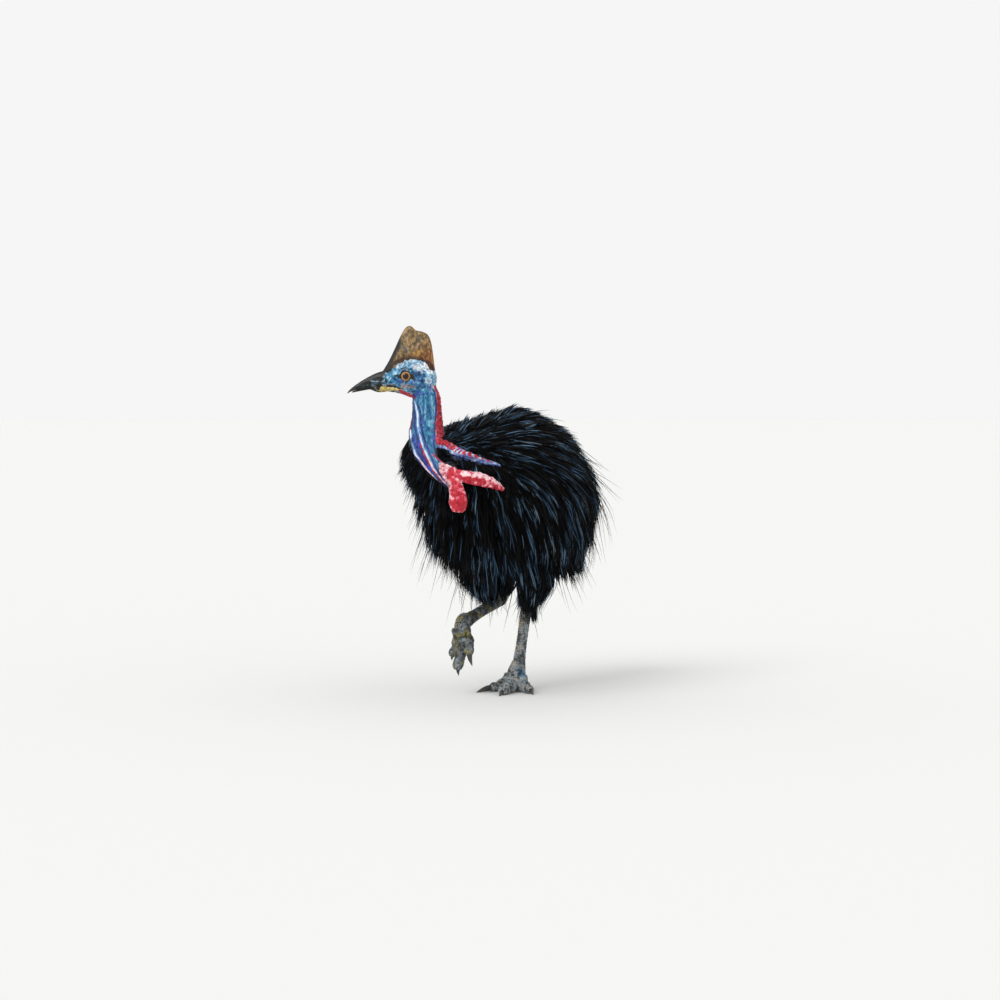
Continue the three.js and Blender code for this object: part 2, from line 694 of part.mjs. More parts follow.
function addHead() {
  const head = headShape();
  const neck = neckShape();
  const casque = casqueShape();
  const upper = upperBillShape();
  const lower = lowerBillShape();
  const eyes = [eyeShape(1), eyeShape(-1)];
  const behindBill = halfSpace(headPoint(BILL_ROOT, 0, 0), ACROSS);
  let skull = solid(head).intersect(behindBill);
  eyes.forEach((eye) => {
    skull = skull.subtract(grown(eye));
  });
  [1, -1].forEach((side) => {
    skull = skull.subtract(solid(orbitShape(side)));
  });
  add('head', largest(skull), 'blueSkin');
  add('casque', largest(solid(casque).subtract(grown(head)).subtract(grown(upper))), 'horn');
  add('bill_upper', solid(upper), 'bill');
  add('bill_lower', solid(lower), 'bill');
  add('eye_left', solid(eyes[0]), 'eye');
  add('eye_right', solid(eyes[1]), 'eye');
  return { head, neck };
}

function addNeckAndTrunk({ head, neck }) {
  const bare = solid(neck).subtract(grown(head));
  const [upperNeck, lowerNeck] = part(largest(bare), point(0, 0, NECK_CUT_Z), UP);
  add('neck_upper', upperNeck, 'blueSkin');
  add('neck_lower', lowerNeck, 'blueSkin');

  const hanging = wattleShape(WATTLE_HANGING, ACROSS);
  const swung = wattleShape(WATTLE_SWUNG, UP);
  add('wattle_right', largest(solid(hanging).subtract(grown(neck))), 'redSkin');
  const swungBody = solid(swung).subtract(grown(neck)).subtract(grown(hanging));
  add('wattle_left', largest(swungBody), 'redSkin');

  const trunk = trunkShape();
  const leftThigh = thighShape(LEFT_THIGH);
  const rightThigh = thighShape(RIGHT_THIGH);
  const bands = [];
  [1, -1].forEach((side) => {
    const label = side > 0 ? 'left' : 'right';
    bands.push({ name: `shoulder_skin_${label}`, shape: flankBand(side, SHOULDER_STRIPE), look: 'blueSkin' });
    bands.push({ name: `wing_${label}`, shape: flankBand(side, WING), look: 'plumage' });
  });
  let coat = solid(trunk);
  [neck, hanging, swung, leftThigh, rightThigh, ...bands.map((band) => band.shape)].forEach((shape) => {
    coat = coat.subtract(grown(shape));
  });
  bands.forEach((band) => {
    const body = solid(band.shape).subtract(grown(neck)).subtract(grown(swung));
    add(band.name, largest(body), band.look);
  });
  const facing = point(0, Math.cos(TAIL_CUT.slope), -Math.sin(TAIL_CUT.slope));
  const [tail, body] = part(largest(coat), point(0, TAIL_CUT.y, TAIL_CUT.z), facing);
  add('trunk', largest(body), 'plumage');
  add('tail', largest(tail), 'plumage');
  return { leftThigh, rightThigh };
}

function addLeg(name, thigh, hock, knee, footJoint, foot, beside) {
  const sideways = point(1, 0, 0);
  const shank = shankShape(hock, hock.clone().add(knee), sideways);
  const tarsus = tarsusShape(hock, footJoint, sideways);
  let plumage = solid(thigh).subtract(grown(shank)).subtract(grown(tarsus));
  if (beside) {
    plumage = plumage.subtract(grown(beside));
  }
  add(`thigh_${name}`, largest(plumage), 'plumage');
  add(`shank_${name}`, solid(shank), 'legSkin');
  const rod = solid(tarsus).subtract(grown(shank)).subtract(grown(geometryOf(foot.pad)));
  add(`tarsus_${name}`, largest(rod), 'legSkin');
  add(`foot_${name}`, foot.pad, 'legSkin');
  foot.pieces.forEach((piece) => {
    add(piece.name, piece.body, piece.look);
  });
}

// The hanging foot: toes down, their upper side facing ahead
function hangingPlace() {
  const ahead = point(...HANGING_FOOT.ahead).normalize();
  const across = point(1, 0, 0).addScaledVector(ahead, -ahead.x).normalize();
  const up = across.clone().cross(ahead.clone().negate());
  const place = new THREE.Matrix4().makeBasis(across, ahead.clone().negate(), up);
  const joint = pointOf(RIGHT_FOOT_JOINT);
  const origin = joint.clone().addScaledVector(up, -HANGING_FOOT.below);
  place.setPosition(origin.addScaledVector(ahead, HANGING_FOOT.forward));
  return { place, joint };
}

const standingPlace = new THREE.Matrix4().makeTranslation(LEFT_FOOT.x, LEFT_FOOT.y, FLOOR)
  .multiply(new THREE.Matrix4().makeRotationZ(LEFT_HEADING));
const hanging = hangingPlace();

const { leftThigh, rightThigh } = addNeckAndTrunk(addHead());
addLeg(
  'left',
  leftThigh,
  pointOf(LEFT_TARSUS_TOP),
  pointOf(LEFT_KNEE),
  point(LEFT_FOOT.x, LEFT_FOOT.y, LEFT_FOOT_JOINT_Z),
  footPieces(1, 'left', SPREAD_STANDING, standingPlace, true),
);
addLeg(
  'right',
  rightThigh,
  pointOf(RIGHT_TARSUS_TOP),
  pointOf(RIGHT_KNEE),
  hanging.joint,
  footPieces(-1, 'right', SPREAD_HANGING, hanging.place, false),
  leftThigh,
);

// The origin is on the floor, under the middle of the standing foot
model.position.set(-LEFT_FOOT.x, -LEFT_FOOT.y, 0);

export default model;
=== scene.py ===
import itertools
import math

import bpy
import numpy as np
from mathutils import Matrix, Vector
from mathutils.bvhtree import BVHTree


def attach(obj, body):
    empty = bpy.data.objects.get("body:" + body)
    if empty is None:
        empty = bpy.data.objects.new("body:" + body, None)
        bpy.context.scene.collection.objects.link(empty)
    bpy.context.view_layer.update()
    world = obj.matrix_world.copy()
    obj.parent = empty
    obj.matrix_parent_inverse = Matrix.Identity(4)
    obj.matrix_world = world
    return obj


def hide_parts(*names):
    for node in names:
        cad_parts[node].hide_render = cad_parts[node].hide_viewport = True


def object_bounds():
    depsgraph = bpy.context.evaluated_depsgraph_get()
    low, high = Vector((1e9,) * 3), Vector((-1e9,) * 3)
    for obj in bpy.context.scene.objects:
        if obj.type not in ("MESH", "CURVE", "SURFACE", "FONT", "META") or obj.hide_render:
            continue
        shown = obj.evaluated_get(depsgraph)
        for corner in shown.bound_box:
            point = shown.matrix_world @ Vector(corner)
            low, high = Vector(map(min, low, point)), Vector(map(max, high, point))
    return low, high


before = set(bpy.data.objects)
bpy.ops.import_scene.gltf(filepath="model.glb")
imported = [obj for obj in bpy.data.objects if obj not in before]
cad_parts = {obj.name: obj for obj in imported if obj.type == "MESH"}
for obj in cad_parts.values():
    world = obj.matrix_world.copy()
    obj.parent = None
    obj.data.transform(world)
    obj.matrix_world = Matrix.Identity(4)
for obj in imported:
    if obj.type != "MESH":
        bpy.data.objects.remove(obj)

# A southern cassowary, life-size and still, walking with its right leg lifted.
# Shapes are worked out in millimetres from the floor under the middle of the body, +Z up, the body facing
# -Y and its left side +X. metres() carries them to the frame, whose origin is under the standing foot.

CAD_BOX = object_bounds()
SEED = 41
# How far the coat may stand out past the CAD solids: a share of each side and a length in millimetres
BOX_SHARE = 0.028
BOX_EXTRA = 6.0
FOOT = np.array([-30.0, 83.0, 0.0])
HEAD_TURN = math.radians(45)
ACROSS = np.array([math.sin(HEAD_TURN), math.cos(HEAD_TURN), 0.0])
TOWARD = np.array([math.cos(HEAD_TURN), -math.sin(HEAD_TURN), 0.0])
UP = np.array([0.0, 0.0, 1.0])
RIGHTWARD = np.array([1.0, 0.0, 0.0])

# Trunk out to the tips of its plumage: height, front, back, half width
TRUNK_MIDDLE_X = -4
TRUNK_SLANT = 0.13
TRUNK_TOP = (1147, 55)
TRUNK_LEVELS = [
    (1140, -15, 131, 38), (1112, -153, 225, 90), (1080, -303, 284, 134), (1020, -425, 380, 200),
    (954, -500, 423, 246), (890, -526, 459, 282), (826, -508, 484, 296), (764, -463, 507, 298),
    (700, -422, 499, 284), (638, -367, 482, 270), (574, -324, 467, 250), (520, -284, 410, 222),
    (480, -250, 360, 196),
]
FRONT_FULLNESS = 2.1
BACK_FULLNESS = 2.0
BELLY = {"z": 452, "shrink": 0.8}

# Neck: across, toward, height, half length and half width of each level, from the head down
NECK_LEVELS = [
    (-326, 264, 1228, 32, 32), (-316, 264, 1186, 48, 40), (-312, 264, 1146, 54, 43),
    (-312, 264, 1104, 57, 46), (-313, 272, 1050, 64, 54), (-311, 306, 1002, 69, 60),
    (-302, 362, 956, 69, 62), (-274, 412, 908, 60, 56), (-240, 440, 866, 46, 44), (-212, 446, 834, 24, 24),
]

# Head, from the middle between the eyes: ahead, up, half height, half width
HEAD_MIDDLE = (-391, 266, 1252)
HEAD_SECTIONS = [
    (-115, -10, 20, 15), (-106, -12, 43, 28), (-86, -16, 62, 37), (-54, -15, 72, 42), (-18, -10, 71, 42),
    (18, -7, 61, 37), (49, -12, 49, 29), (80, -16, 41, 22),
]
CROWN_SECTIONS = [
    (-106, 14, 22, 14), (-92, 24, 32, 23), (-66, 28, 40, 29.5), (-34, 30, 43, 31), (-4, 29, 42, 30),
    (22, 22, 37, 27.5), (46, 12, 30, 23), (62, 4, 24, 17),
]
CROWN_FULLNESS = 4.0
HEAD_NARROWING = 0.1
CASQUE_OUTLINE = [
    (98, 10, 5), (86, 25, 12), (64, 62, 18), (40, 112, 23), (18, 160, 26), (0, 186, 27), (-18, 192, 28),
    (-38, 176, 28), (-60, 171, 28), (-82, 160, 27), (-95, 134, 25), (-103, 90, 21), (-108, 47, 14),
]
CASQUE_FOOT = -6
CASQUE_SEAT = [(70, 30), (40, 54), (-11, 68), (-60, 64), (-92, 46), (-105, 20)]
CASQUE_TAPER = {"strength": 0.5, "from": 70, "least": 6, "fullness": 2.3}
UPPER_BILL = [
    (74, 25, -37, 22.5), (94, 19, -37, 20.5), (117, 11, -39, 17), (151, -6, -45, 12.5), (185, -27, -51, 8.5),
    (210, -46, -58, 5), (222, -58, -65, 2.2),
]
LOWER_BILL = [
    (74, -36, -59, 20), (94, -36, -61, 17.5), (110, -38, -60.5, 15.5), (124, -40, -56, 13),
    (138, -42, -51, 11), (160, -46, -54, 8.8), (185, -51, -58.5, 6.2), (204, -57, -62.5, 3.2),
]
BILL_RIDGE = 0.8
NOSTRIL = {"ahead": 110, "up": -14, "long": 9, "tall": 3.2, "deep": 3.5, "tilt": 0.45}
EYE = {"radius": 21.0, "side": 24.5, "flatten": 0.92, "opening": 18.0}
LID = {"reach": 38, "stretch": 1.06, "roll": 1.6, "brow": 3.2}
EAR = {"ahead": -66, "up": -24, "radius": 7}
# The part of the head that has a face: how far to the side, to the back and down it goes
FACE = {"side": 60, "back": -125, "low": -90}
GAPE = [(76, -37.3), (56, -38.5), (38, -41), (22, -47)]

# Wattles, and the bare stripe of skin on each shoulder
WATTLE_HANGING = [
    (-206, 474, 872, 16), (-196, 489, 844, 25), (-190, 497, 810, 32), (-188, 498, 778, 36),
    (-188, 497, 754, 28),
]
WATTLE_SWUNG = [
    (-202, 476, 884, 20), (-174, 484, 880, 23), (-144, 488, 874, 25), (-104, 482, 866, 26),
    (-62, 460, 851, 21), (-20, 432, 828, 9),
]
WATTLE_ROOT = [(-228, 436, 928, 15), (-218, 450, 908, 24), (-208, 464, 880, 25), (-200, 474, 852, 19)]
WATTLE_TIP = [(0.16, 0.9), (0.3, 0.68), (0.38, 0.4)]
WATTLE_FLATTEN = 0.86
SHOULDER_STRIPE = {"turns": (0.16, 0.98), "z": (1000, 914), "thick": 16, "tall": 26, "narrowing": 0.5}
STRIPE_SHOWN = 0.72
STRIPE_DASHES = 84

# Legs
LEFT_FOOT = (-30, 83)
LEFT_HEADING = math.radians(25)
LEFT_TARSUS_TOP = (-6, 118, 366)
RIGHT_TARSUS_TOP = (-115, 66, 356)
RIGHT_FOOT_JOINT = (-60, -190, 286)
LEFT_FOOT_JOINT_Z = 62
LEFT_THIGH = [
    (96, -8, 740, 60, 50), (116, -4, 700, 128, 106), (120, 4, 640, 156, 112), (104, 26, 570, 146, 104),
    (74, 62, 500, 124, 104), (40, 98, 446, 116, 98), (18, 122, 400, 100, 86), (6, 133, 356, 84, 76),
]
RIGHT_THIGH = [
    (-84, -46, 740, 60, 50), (-104, -50, 700, 128, 106), (-112, -50, 640, 152, 112),
    (-116, -44, 570, 138, 100), (-122, -28, 500, 116, 98), (-124, -8, 446, 104, 92),
    (-124, 8, 405, 90, 82), (-122, 18, 366, 76, 72),
]
THIGH_SLIMMER = 0.1
LEFT_KNEE = (58, -66, 118)
RIGHT_KNEE = (-8, -58, 112)
SHANK = [(-0.16, 20.5), (-0.08, 30.4), (0, 33), (0.16, 31), (0.42, 25.5), (0.75, 25), (1, 26)]
TARSUS = {"ends": (22, 27), "middle": 18.5, "deeper": 1.18}
SPREAD_STANDING = math.radians(42)
SPREAD_HANGING = math.radians(22)
TOES = {
    "inner": {"side": -1, "toe": 108, "claw": 84, "thick": 20.5, "claw_radius": 13.5},
    "middle": {"side": 0, "toe": 164, "claw": 52, "thick": 22.5, "claw_radius": 11},
    "outer": {"side": 1, "toe": 126, "claw": 46, "thick": 19.5, "claw_radius": 10},
}
TOE_START = 30
TOE_THICKNESS = {"ends": (1.42, 0.84), "swelling": 0.1, "flat": 2.5}
TOE_ARCH = {"ends": (47, 8), "slope": 1.5}
TOE_END = {"long": 12, "size": 0.7, "sink": 3}
CLAW_ARCH = {
    "overlap": 8, "taper": 0.88, "fullness": 2.0, "raise": 1.5, "hump": 5, "press": 1.2, "slim": 0.86,
    "point": 2.5,
}
CLAW_SHARE = {"left": 0.9, "right": 0.64}
ANKLE = [(142, 18), (120, 22), (96, 28), (70, 34), (44, 35)]
ANKLE_DEEPER = 1.12
STANDING_PAD = {"half": (31, 52, 46), "ahead": 3.3, "sink": 4}
HANGING_PAD = {"half": (29, 46, 33), "ahead": 1, "sink": -14}
HANGING_FOOT = {"ahead": (-10, -58, -190), "below": 48, "forward": 4}

# Coat: how deep the plumage stands over the skin, in millimetres
COAT_DEPTH = 46
HEM_PULL = 0.45
HEM_ENDS = [(-30, 104), (-122, 18)]
THIGH_DEPTH = [(350, 44), (400, 42), (446, 36), (500, 32), (570, 30), (700, 34)]
BARE_EDGE = 90
# How deep the skin lies where the plumage begins
LEAST_DEPTH = 4
# Heights between which the legs have scales
HEEL = 5
LEG_COVERED = 410

# How finely each body is cut: the sides of a ring, and the lengths between its rings
CUTS = {
    "trunk": (84, 54), "thigh": (40, 30), "neck": (56, 60), "head": (56, 44), "crown": (48, 36),
    "wattle": (28, 34), "stripe": (40, 70), "shank": (30, 24), "tarsus": (30, 24), "ankle": (30, 16),
    "toe": (26, 26), "claw": (20, 26), "pad": (32, 21), "casque": (48, 64), "eye": (48, 39),
    "bill_upper": (36, 54), "bill_lower": (28, 80),
}
# Into how many lengths a run is cut where places are measured from it
NECK_LENGTHS = 24
WATTLE_LENGTHS = 16
ROUGH_STRIPE = 8
FINE_STRIPE = 12
# How each stretch of skin is melted together: the size of its voxels and the passes that smooth it
MELTS = {"head_and_neck": (2.3, 6), "outline": (12, 4), "leg_left": (3.3, 4), "leg_right": (3.3, 4)}
# How far a pass moves points toward their neighbours, and how far the next one moves them away again
SMOOTHING = (0.5, -0.53)
# How many waves make up a ripple
RIPPLE_WAVES = 7


def metres(points):
    return (np.asarray(points, float) - FOOT) / 1000


def profile(across, toward, z):
    across, toward, z = (np.asarray(value, float)[..., None] for value in (across, toward, z))
    return across * ACROSS + toward * TOWARD + z * UP


def middle_of(rows):
    """The middle line of a table whose rows begin with across, toward and height"""
    return profile(*np.asarray(rows, float)[:, :3].T)


def head_point(ahead, side, up):
    across, toward, z = HEAD_MIDDLE
    return profile(across - np.asarray(ahead), toward + np.asarray(side), z + np.asarray(up))


def head_place(points):
    """How far ahead of the eyes, to the side of the middle and above it each point lies"""
    return HEAD_MIDDLE[0] - points @ ACROSS, points @ TOWARD - HEAD_MIDDLE[1], points[..., 2] - HEAD_MIDDLE[2]


def unit(vectors):
    return vectors / np.maximum(np.linalg.norm(vectors, axis=-1, keepdims=True), 1e-9)


def squared(vector, way):
    """What a vector has square to a unit way, made one long"""
    return unit(vector - way * (way @ vector)[..., None])


def step(low, high, value):
    """0 below low, 1 above high, smooth between"""
    t = np.clip((value - low) / (high - low), 0, 1)
    return t * t * (3 - 2 * t)


def window(low, high, blur, value):
    """1 between low and high, fading out over the blur to both sides of each"""
    return step(low - blur, low + blur, value) * step(high + blur, high - blur, value)


def bell(value, middle, reach):
    """1 where the value is at the middle, fading out over its reach"""
    return np.exp(-(((value - middle) / reach) ** 2))


def between(ends, t):
    """The first of two ends at 0, the second at 1"""
    return ends[0] + (ends[1] - ends[0]) * t


def along_run(place, values):
    """Values spread evenly over a run, at places from 0 to 1 along it"""
    return np.interp(place, np.linspace(0, 1, len(values)), values)


def highest(*shares):
    """The highest of several shares, point by point"""
    return np.maximum.reduce(shares)


def columns_at(z, table, height, *columns):
    """Columns of a table whose rows go down the bird, at heights that are looked up in one column"""
    table = np.array(table, float)[::-1]
    return [np.interp(z, table[:, height], table[:, column]) for column in columns]


def eased(table, count):
    """The rows of a table, eased into count + 1 rows"""
    table = np.asarray(table, float)
    last = len(table) - 1
    place = np.linspace(0, last, count + 1)
    index = np.minimum(place.astype(int), last - 1)
    t = (place - index)[:, None]
    before, here = table[np.maximum(index - 1, 0)], table[index]
    after, beyond = table[index + 1], table[np.minimum(index + 2, last)]
    slope, next_slope = (after - before) / 2, (beyond - here) / 2
    fall = here - after
    bend = -3 * fall - 2 * slope - next_slope
    return here + slope * t + bend * t**2 + (2 * fall + slope + next_slope) * t**3


def ripple(points, size, seed):
    """Smooth noise from -1 to 1 whose bumps are about size across"""
    dice, waves = np.random.default_rng(seed), RIPPLE_WAVES
    ways = unit(dice.normal(size=(waves, 3))) * dice.uniform(0.7, 1.6, (waves, 1)) * math.tau / (2 * size)
    return np.sin(points @ ways.T + dice.uniform(0, math.tau, waves)).sum(-1) / waves**0.5 / 1.2


def ring_turns(sides):
    return np.arange(sides) / sides * math.tau


def strips(start, sides):
    """The faces between each ring of points and the next, from where the rings start"""
    here = np.arange(sides)
    following = np.roll(here, -1)
    corners = (start + here, start + following, start + sides + following, start + sides + here)
    return np.stack(corners, -1).reshape(-1, 4)


def ovals(centres, first, second, half, other, sides, fullness=2.0, narrow=None):
    """Rings of an oval section, one for each centre"""
    c, s = np.cos(ring_turns(sides)), np.sin(ring_turns(sides))
    reach = (np.abs(c) ** fullness + np.abs(s) ** fullness) ** (-1 / fullness)
    half, other = np.broadcast_to(half, len(centres)), np.broadcast_to(other, len(centres))
    slim = 1 if narrow is None else narrow(s)
    wide = (half[:, None] * c * reach * slim)[..., None] * np.broadcast_to(first, centres.shape)[:, None]
    tall = (other[:, None] * s * reach)[..., None] * np.broadcast_to(second, centres.shape)[:, None]
    return centres[:, None] + wide + tall


def limb_rings(centres, half, deep, sideways, sides):
    """Rings square to a run of centres"""
    along = unit(np.gradient(centres, axis=0))
    across = squared(sideways, along)
    return ovals(centres, across, np.cross(along, across), half, deep, sides)


def loft(rings, first_tip=None, last_tip=None):
    """Points and faces of a closed body through rings, its ends brought to a tip"""
    count, sides = rings.shape[:2]
    first_tip = rings[0].mean(0) if first_tip is None else first_tip
    last_tip = rings[-1].mean(0) if last_tip is None else last_tip
    points = np.vstack([rings.reshape(-1, 3), first_tip, last_tip])
    row = np.arange(sides)
    following = np.roll(row, -1)
    end = (count - 1) * sides
    first = np.stack([np.full(sides, count * sides), following, row], 1)
    last = np.stack([np.full(sides, count * sides + 1), end + row, end + following], 1)
    return outward(points, [strips(np.arange(count - 1)[:, None] * sides, sides), np.vstack([first, last])])


def outward(points, faces):
    """The faces turned to point outward"""
    volume = 0
    for group in faces:
        for corner in range(1, group.shape[1] - 1):
            a, b, c = (points[group[:, k]] for k in (0, corner, corner + 1))
            volume += np.einsum("ij,ij->i", a, np.cross(b, c)).sum()
    return points, faces if volume > 0 else [group[:, ::-1] for group in faces]


def loft_map(rings, faces):
    """A flat map of a loft: round it is across the map, along it is up the map"""
    count, sides = rings.shape[:2]
    corners = []
    for group in faces:
        ring, turn = np.divmod(group, sides)
        tip = group >= count * sides
        u = turn / sides
        u = np.where((u.max(1, keepdims=True, where=~tip, initial=0) > 0.75) & (u < 0.25), u + 1, u)
        middle = (np.where(tip, 0, u).sum(1) / (~tip).sum(1))[:, None]
        u = np.where(tip, middle, u)
        v = 0.04 + 0.92 * ring / (count - 1)
        v = np.where(tip, np.where(group == count * sides, 0.0, 1.0), v)
        corners.append(np.stack([0.01 + 0.96 * u * sides / (sides + 1), v], -1).reshape(-1, 2))
    return np.vstack(corners)


def build(name, points, faces, corners=None, marks=None, material=None):
    """A smooth mesh object from points in millimetres, groups of faces, a flat map and marks on the points"""
    mesh = bpy.data.meshes.new(name)
    loops = np.concatenate([group.ravel() for group in faces]).astype(np.int32)
    totals = np.concatenate([np.full(len(group), group.shape[1]) for group in faces])
    mesh.vertices.add(len(points))
    mesh.vertices.foreach_set("co", metres(points).astype(np.float32).ravel())
    mesh.loops.add(len(loops))
    mesh.loops.foreach_set("vertex_index", loops)
    mesh.polygons.add(len(totals))
    mesh.polygons.foreach_set("loop_start", np.concatenate([[0], np.cumsum(totals)[:-1]]).astype(np.int32))
    mesh.update(calc_edges=True)
    mesh.polygons.foreach_set("use_smooth", np.ones(len(totals), bool))
    if corners is not None:
        mesh.uv_layers.new(name="OFBake").uv.foreach_set("vector", corners.astype(np.float32).ravel())
    for label, values in (marks or {}).items():
        kind, field = ("FLOAT", "value") if values.ndim == 1 else ("FLOAT_VECTOR", "vector")
        mesh.attributes.new(label, kind, "POINT").data.foreach_set(field, values.astype(np.float32).ravel())
    if material:
        mesh.materials.append(material)
    piece = bpy.data.objects.new(name, mesh)
    bpy.context.scene.collection.objects.link(piece)
    return piece


def arrays(piece):
    """Points in millimetres and groups of faces of an object"""
    mesh = piece.data
    points = np.empty(len(mesh.vertices) * 3)
    mesh.vertices.foreach_get("co", points)
    loops = np.empty(len(mesh.loops), np.int32)
    mesh.loops.foreach_get("vertex_index", loops)
    starts = np.empty(len(mesh.polygons), np.int32)
    mesh.polygons.foreach_get("loop_start", starts)
    totals = np.diff(np.append(starts, len(loops)))
    faces = []
    for corners in np.unique(totals):
        chosen = starts[totals == corners]
        faces.append(loops[chosen[:, None] + np.arange(corners)])
    return points.reshape(-1, 3) * 1000 + FOOT, faces


def joined(shapes):
    """Several shapes as one list of points and groups of faces"""
    points, groups, start = [], {}, 0
    for shape_points, faces in shapes:
        for group in faces:
            groups.setdefault(group.shape[1], []).append(group + start)
        points.append(shape_points)
        start += len(shape_points)
    return np.vstack(points), [np.vstack(group) for _, group in sorted(groups.items())]


def apply_modifiers(piece):
    """The piece's own mesh becomes what its modifiers make of it"""
    evaluated = piece.evaluated_get(bpy.context.evaluated_depsgraph_get())
    mesh = bpy.data.meshes.new_from_object(evaluated)
    piece.modifiers.clear()
    piece.data = mesh
    return piece


def discard(piece):
    bpy.data.objects.remove(piece, do_unlink=True)


def edges_of(faces):
    pairs = [np.stack([group, np.roll(group, -1, 1)], -1).reshape(-1, 2) for group in faces]
    return np.unique(np.sort(np.vstack(pairs), 1), axis=0)


def smoothed(points, faces, times):
    """Smooths without shrinking: each pass is followed by one the other way"""
    a, b = edges_of(faces).T
    count = np.bincount(np.concatenate([a, b]), minlength=len(points))[:, None]
    for share in SMOOTHING * times:
        total = np.zeros_like(points)
        for axis in range(3):
            before = np.bincount(a, points[b, axis], len(points))
            total[:, axis] = before + np.bincount(b, points[a, axis], len(points))
        points = points + share * (total / np.maximum(count, 1) - points)
    return points


def grounded(points):
    """Points below the floor brought up to it"""
    points[:, 2] = np.maximum(points[:, 2], 0)
    return points


def fused(name, shapes):
    """Shapes melted into one even surface"""
    voxel, smoothing = MELTS[name]
    piece = build(name, *joined(shapes))
    melt = piece.modifiers.new("melt", "REMESH")
    melt.mode = "VOXEL"
    melt.voxel_size = voxel / 1000
    points, faces = arrays(apply_modifiers(piece))
    discard(piece)
    return smoothed(points, faces, smoothing), faces


def normals_of(points, faces):
    total = np.zeros_like(points)
    for group in faces:
        a, b, c = (points[group[:, k]] for k in (0, 1, 2))
        across = np.cross(b - a, c - a) if group.shape[1] == 3 else np.cross(c - a, points[group[:, 3]] - b)
        for corner in range(group.shape[1]):
            for axis in range(3):
                total[:, axis] += np.bincount(group[:, corner], across[:, axis], len(points))
    return unit(total)


def tree_of(points, faces):
    return BVHTree.FromPolygons(points.tolist(), [face for group in faces for face in group.tolist()])


# Shapes of the bird, as rings


def trunk_point(level, turn):
    """A point on the trunk's outline: the middle of the breast at turn 0, the left flank at a quarter turn"""
    z, front, back, half = (np.asarray(value, float) for value in level)
    x, y = np.sin(turn), -np.cos(turn)
    fullness = np.where(y < 0, FRONT_FULLNESS, BACK_FULLNESS)
    reach = (np.abs(x) ** fullness + np.abs(y) ** fullness) ** (-1 / fullness)
    along = (front + back) / 2 + y * reach * (back - front) / 2
    across = TRUNK_MIDDLE_X - TRUNK_SLANT * along + x * reach * half
    return np.stack(np.broadcast_arrays(across, along, z), -1)


def trunk_rings():
    sides, count = CUTS["trunk"]
    rings = trunk_point(eased(TRUNK_LEVELS, count).T[:, :, None], ring_turns(sides)[None])
    middle = rings[-1].mean(0)
    belly = middle + (rings[-1] - middle) * BELLY["shrink"]
    belly[:, 2] = BELLY["z"]
    top = np.array([TRUNK_MIDDLE_X - TRUNK_SLANT * TRUNK_TOP[1], TRUNK_TOP[1], TRUNK_TOP[0]])
    return loft(np.concatenate([rings, belly[None]]), top)


def thigh_rings(table):
    sides, count = CUTS["thigh"]
    rows = eased(table, count)
    slim = 1 - THIGH_SLIMMER * step(520, 420, rows[:, 2])
    return loft(ovals(rows[:, :3], RIGHTWARD, [0, 1, 0], rows[:, 4] * slim, rows[:, 3] * slim, sides))


def neck_rows(count):
    rows = eased(NECK_LEVELS, count)
    return middle_of(rows), rows[:, 3], rows[:, 4]


def neck_rings():
    sides, count = CUTS["neck"]
    return loft(limb_rings(*neck_rows(count), ACROSS, sides))


def head_rings():
    sides, count = CUTS["head"]
    rows = eased(HEAD_SECTIONS, count)
    centres = head_point(rows[:, 0], 0, rows[:, 1])
    rings = ovals(
        centres, TOWARD, UP, rows[:, 3], rows[:, 2], sides, narrow=lambda s: 1 - HEAD_NARROWING * s * s,
    )
    first, last = rows[0], rows[-1]
    return loft(rings, head_point(first[0] - 4, 0, first[1]), head_point(last[0] + 3, 0, last[1]))


def crown_rings():
    sides, count = CUTS["crown"]
    rows = eased(CROWN_SECTIONS, count)
    centres = head_point(rows[:, 0], 0, rows[:, 1])
    return loft(ovals(centres, TOWARD, UP, rows[:, 3], rows[:, 2], sides, CROWN_FULLNESS))


def wattle_rings(table, sideways):
    sides, count = CUTS["wattle"]
    rows = eased(table, count)
    centres, half = middle_of(rows), rows[:, 3]
    onward = unit(centres[-1] - centres[-3]) * half[-1]
    for reach, size in WATTLE_TIP:
        centres = np.vstack([centres, centres[count] + onward * reach])
        half = np.append(half, rows[-1, 3] * size)
    return loft(limb_rings(centres, half, half * WATTLE_FLATTEN, sideways, sides))


def stripe_line(side, count):
    """The middle of a shoulder's bare stripe, laid on the trunk's outline, and how full it is along it"""
    t = np.linspace(0, 1, count + 1)
    z = between(SHOULDER_STRIPE["z"], t)
    swell = np.sin(math.pi * (0.12 + 0.8 * t)) ** 0.6 * (1 - SHOULDER_STRIPE["narrowing"] * t)
    level = (z, *columns_at(z, TRUNK_LEVELS, 0, 1, 2, 3))
    return trunk_point(level, side * between(SHOULDER_STRIPE["turns"], t)), swell


def stripe_rings(side):
    sides, count = CUTS["stripe"]
    line, swell = stripe_line(side, count)
    out = line.mean(0) - [TRUNK_MIDDLE_X, 0, 0]
    out[2] = 0
    half, tall = SHOULDER_STRIPE["thick"] * swell, SHOULDER_STRIPE["tall"] * swell
    points, faces = loft(limb_rings(line, half, tall, unit(out), sides))
    rough = 2.2 * ripple(points * [0.7, 0.7, 1.6], 14, 81) + 1.3 * ripple(points, 7, 82)
    return points + normals_of(points, faces) * rough[:, None], faces


def shank_rings(hock, knee):
    sides, count = CUTS["shank"]
    rows = eased(SHANK, count)
    centres = np.array(hock, float) + rows[:, :1] * np.array(knee, float)
    return loft(limb_rings(centres, rows[:, 1], rows[:, 1], RIGHTWARD, sides))


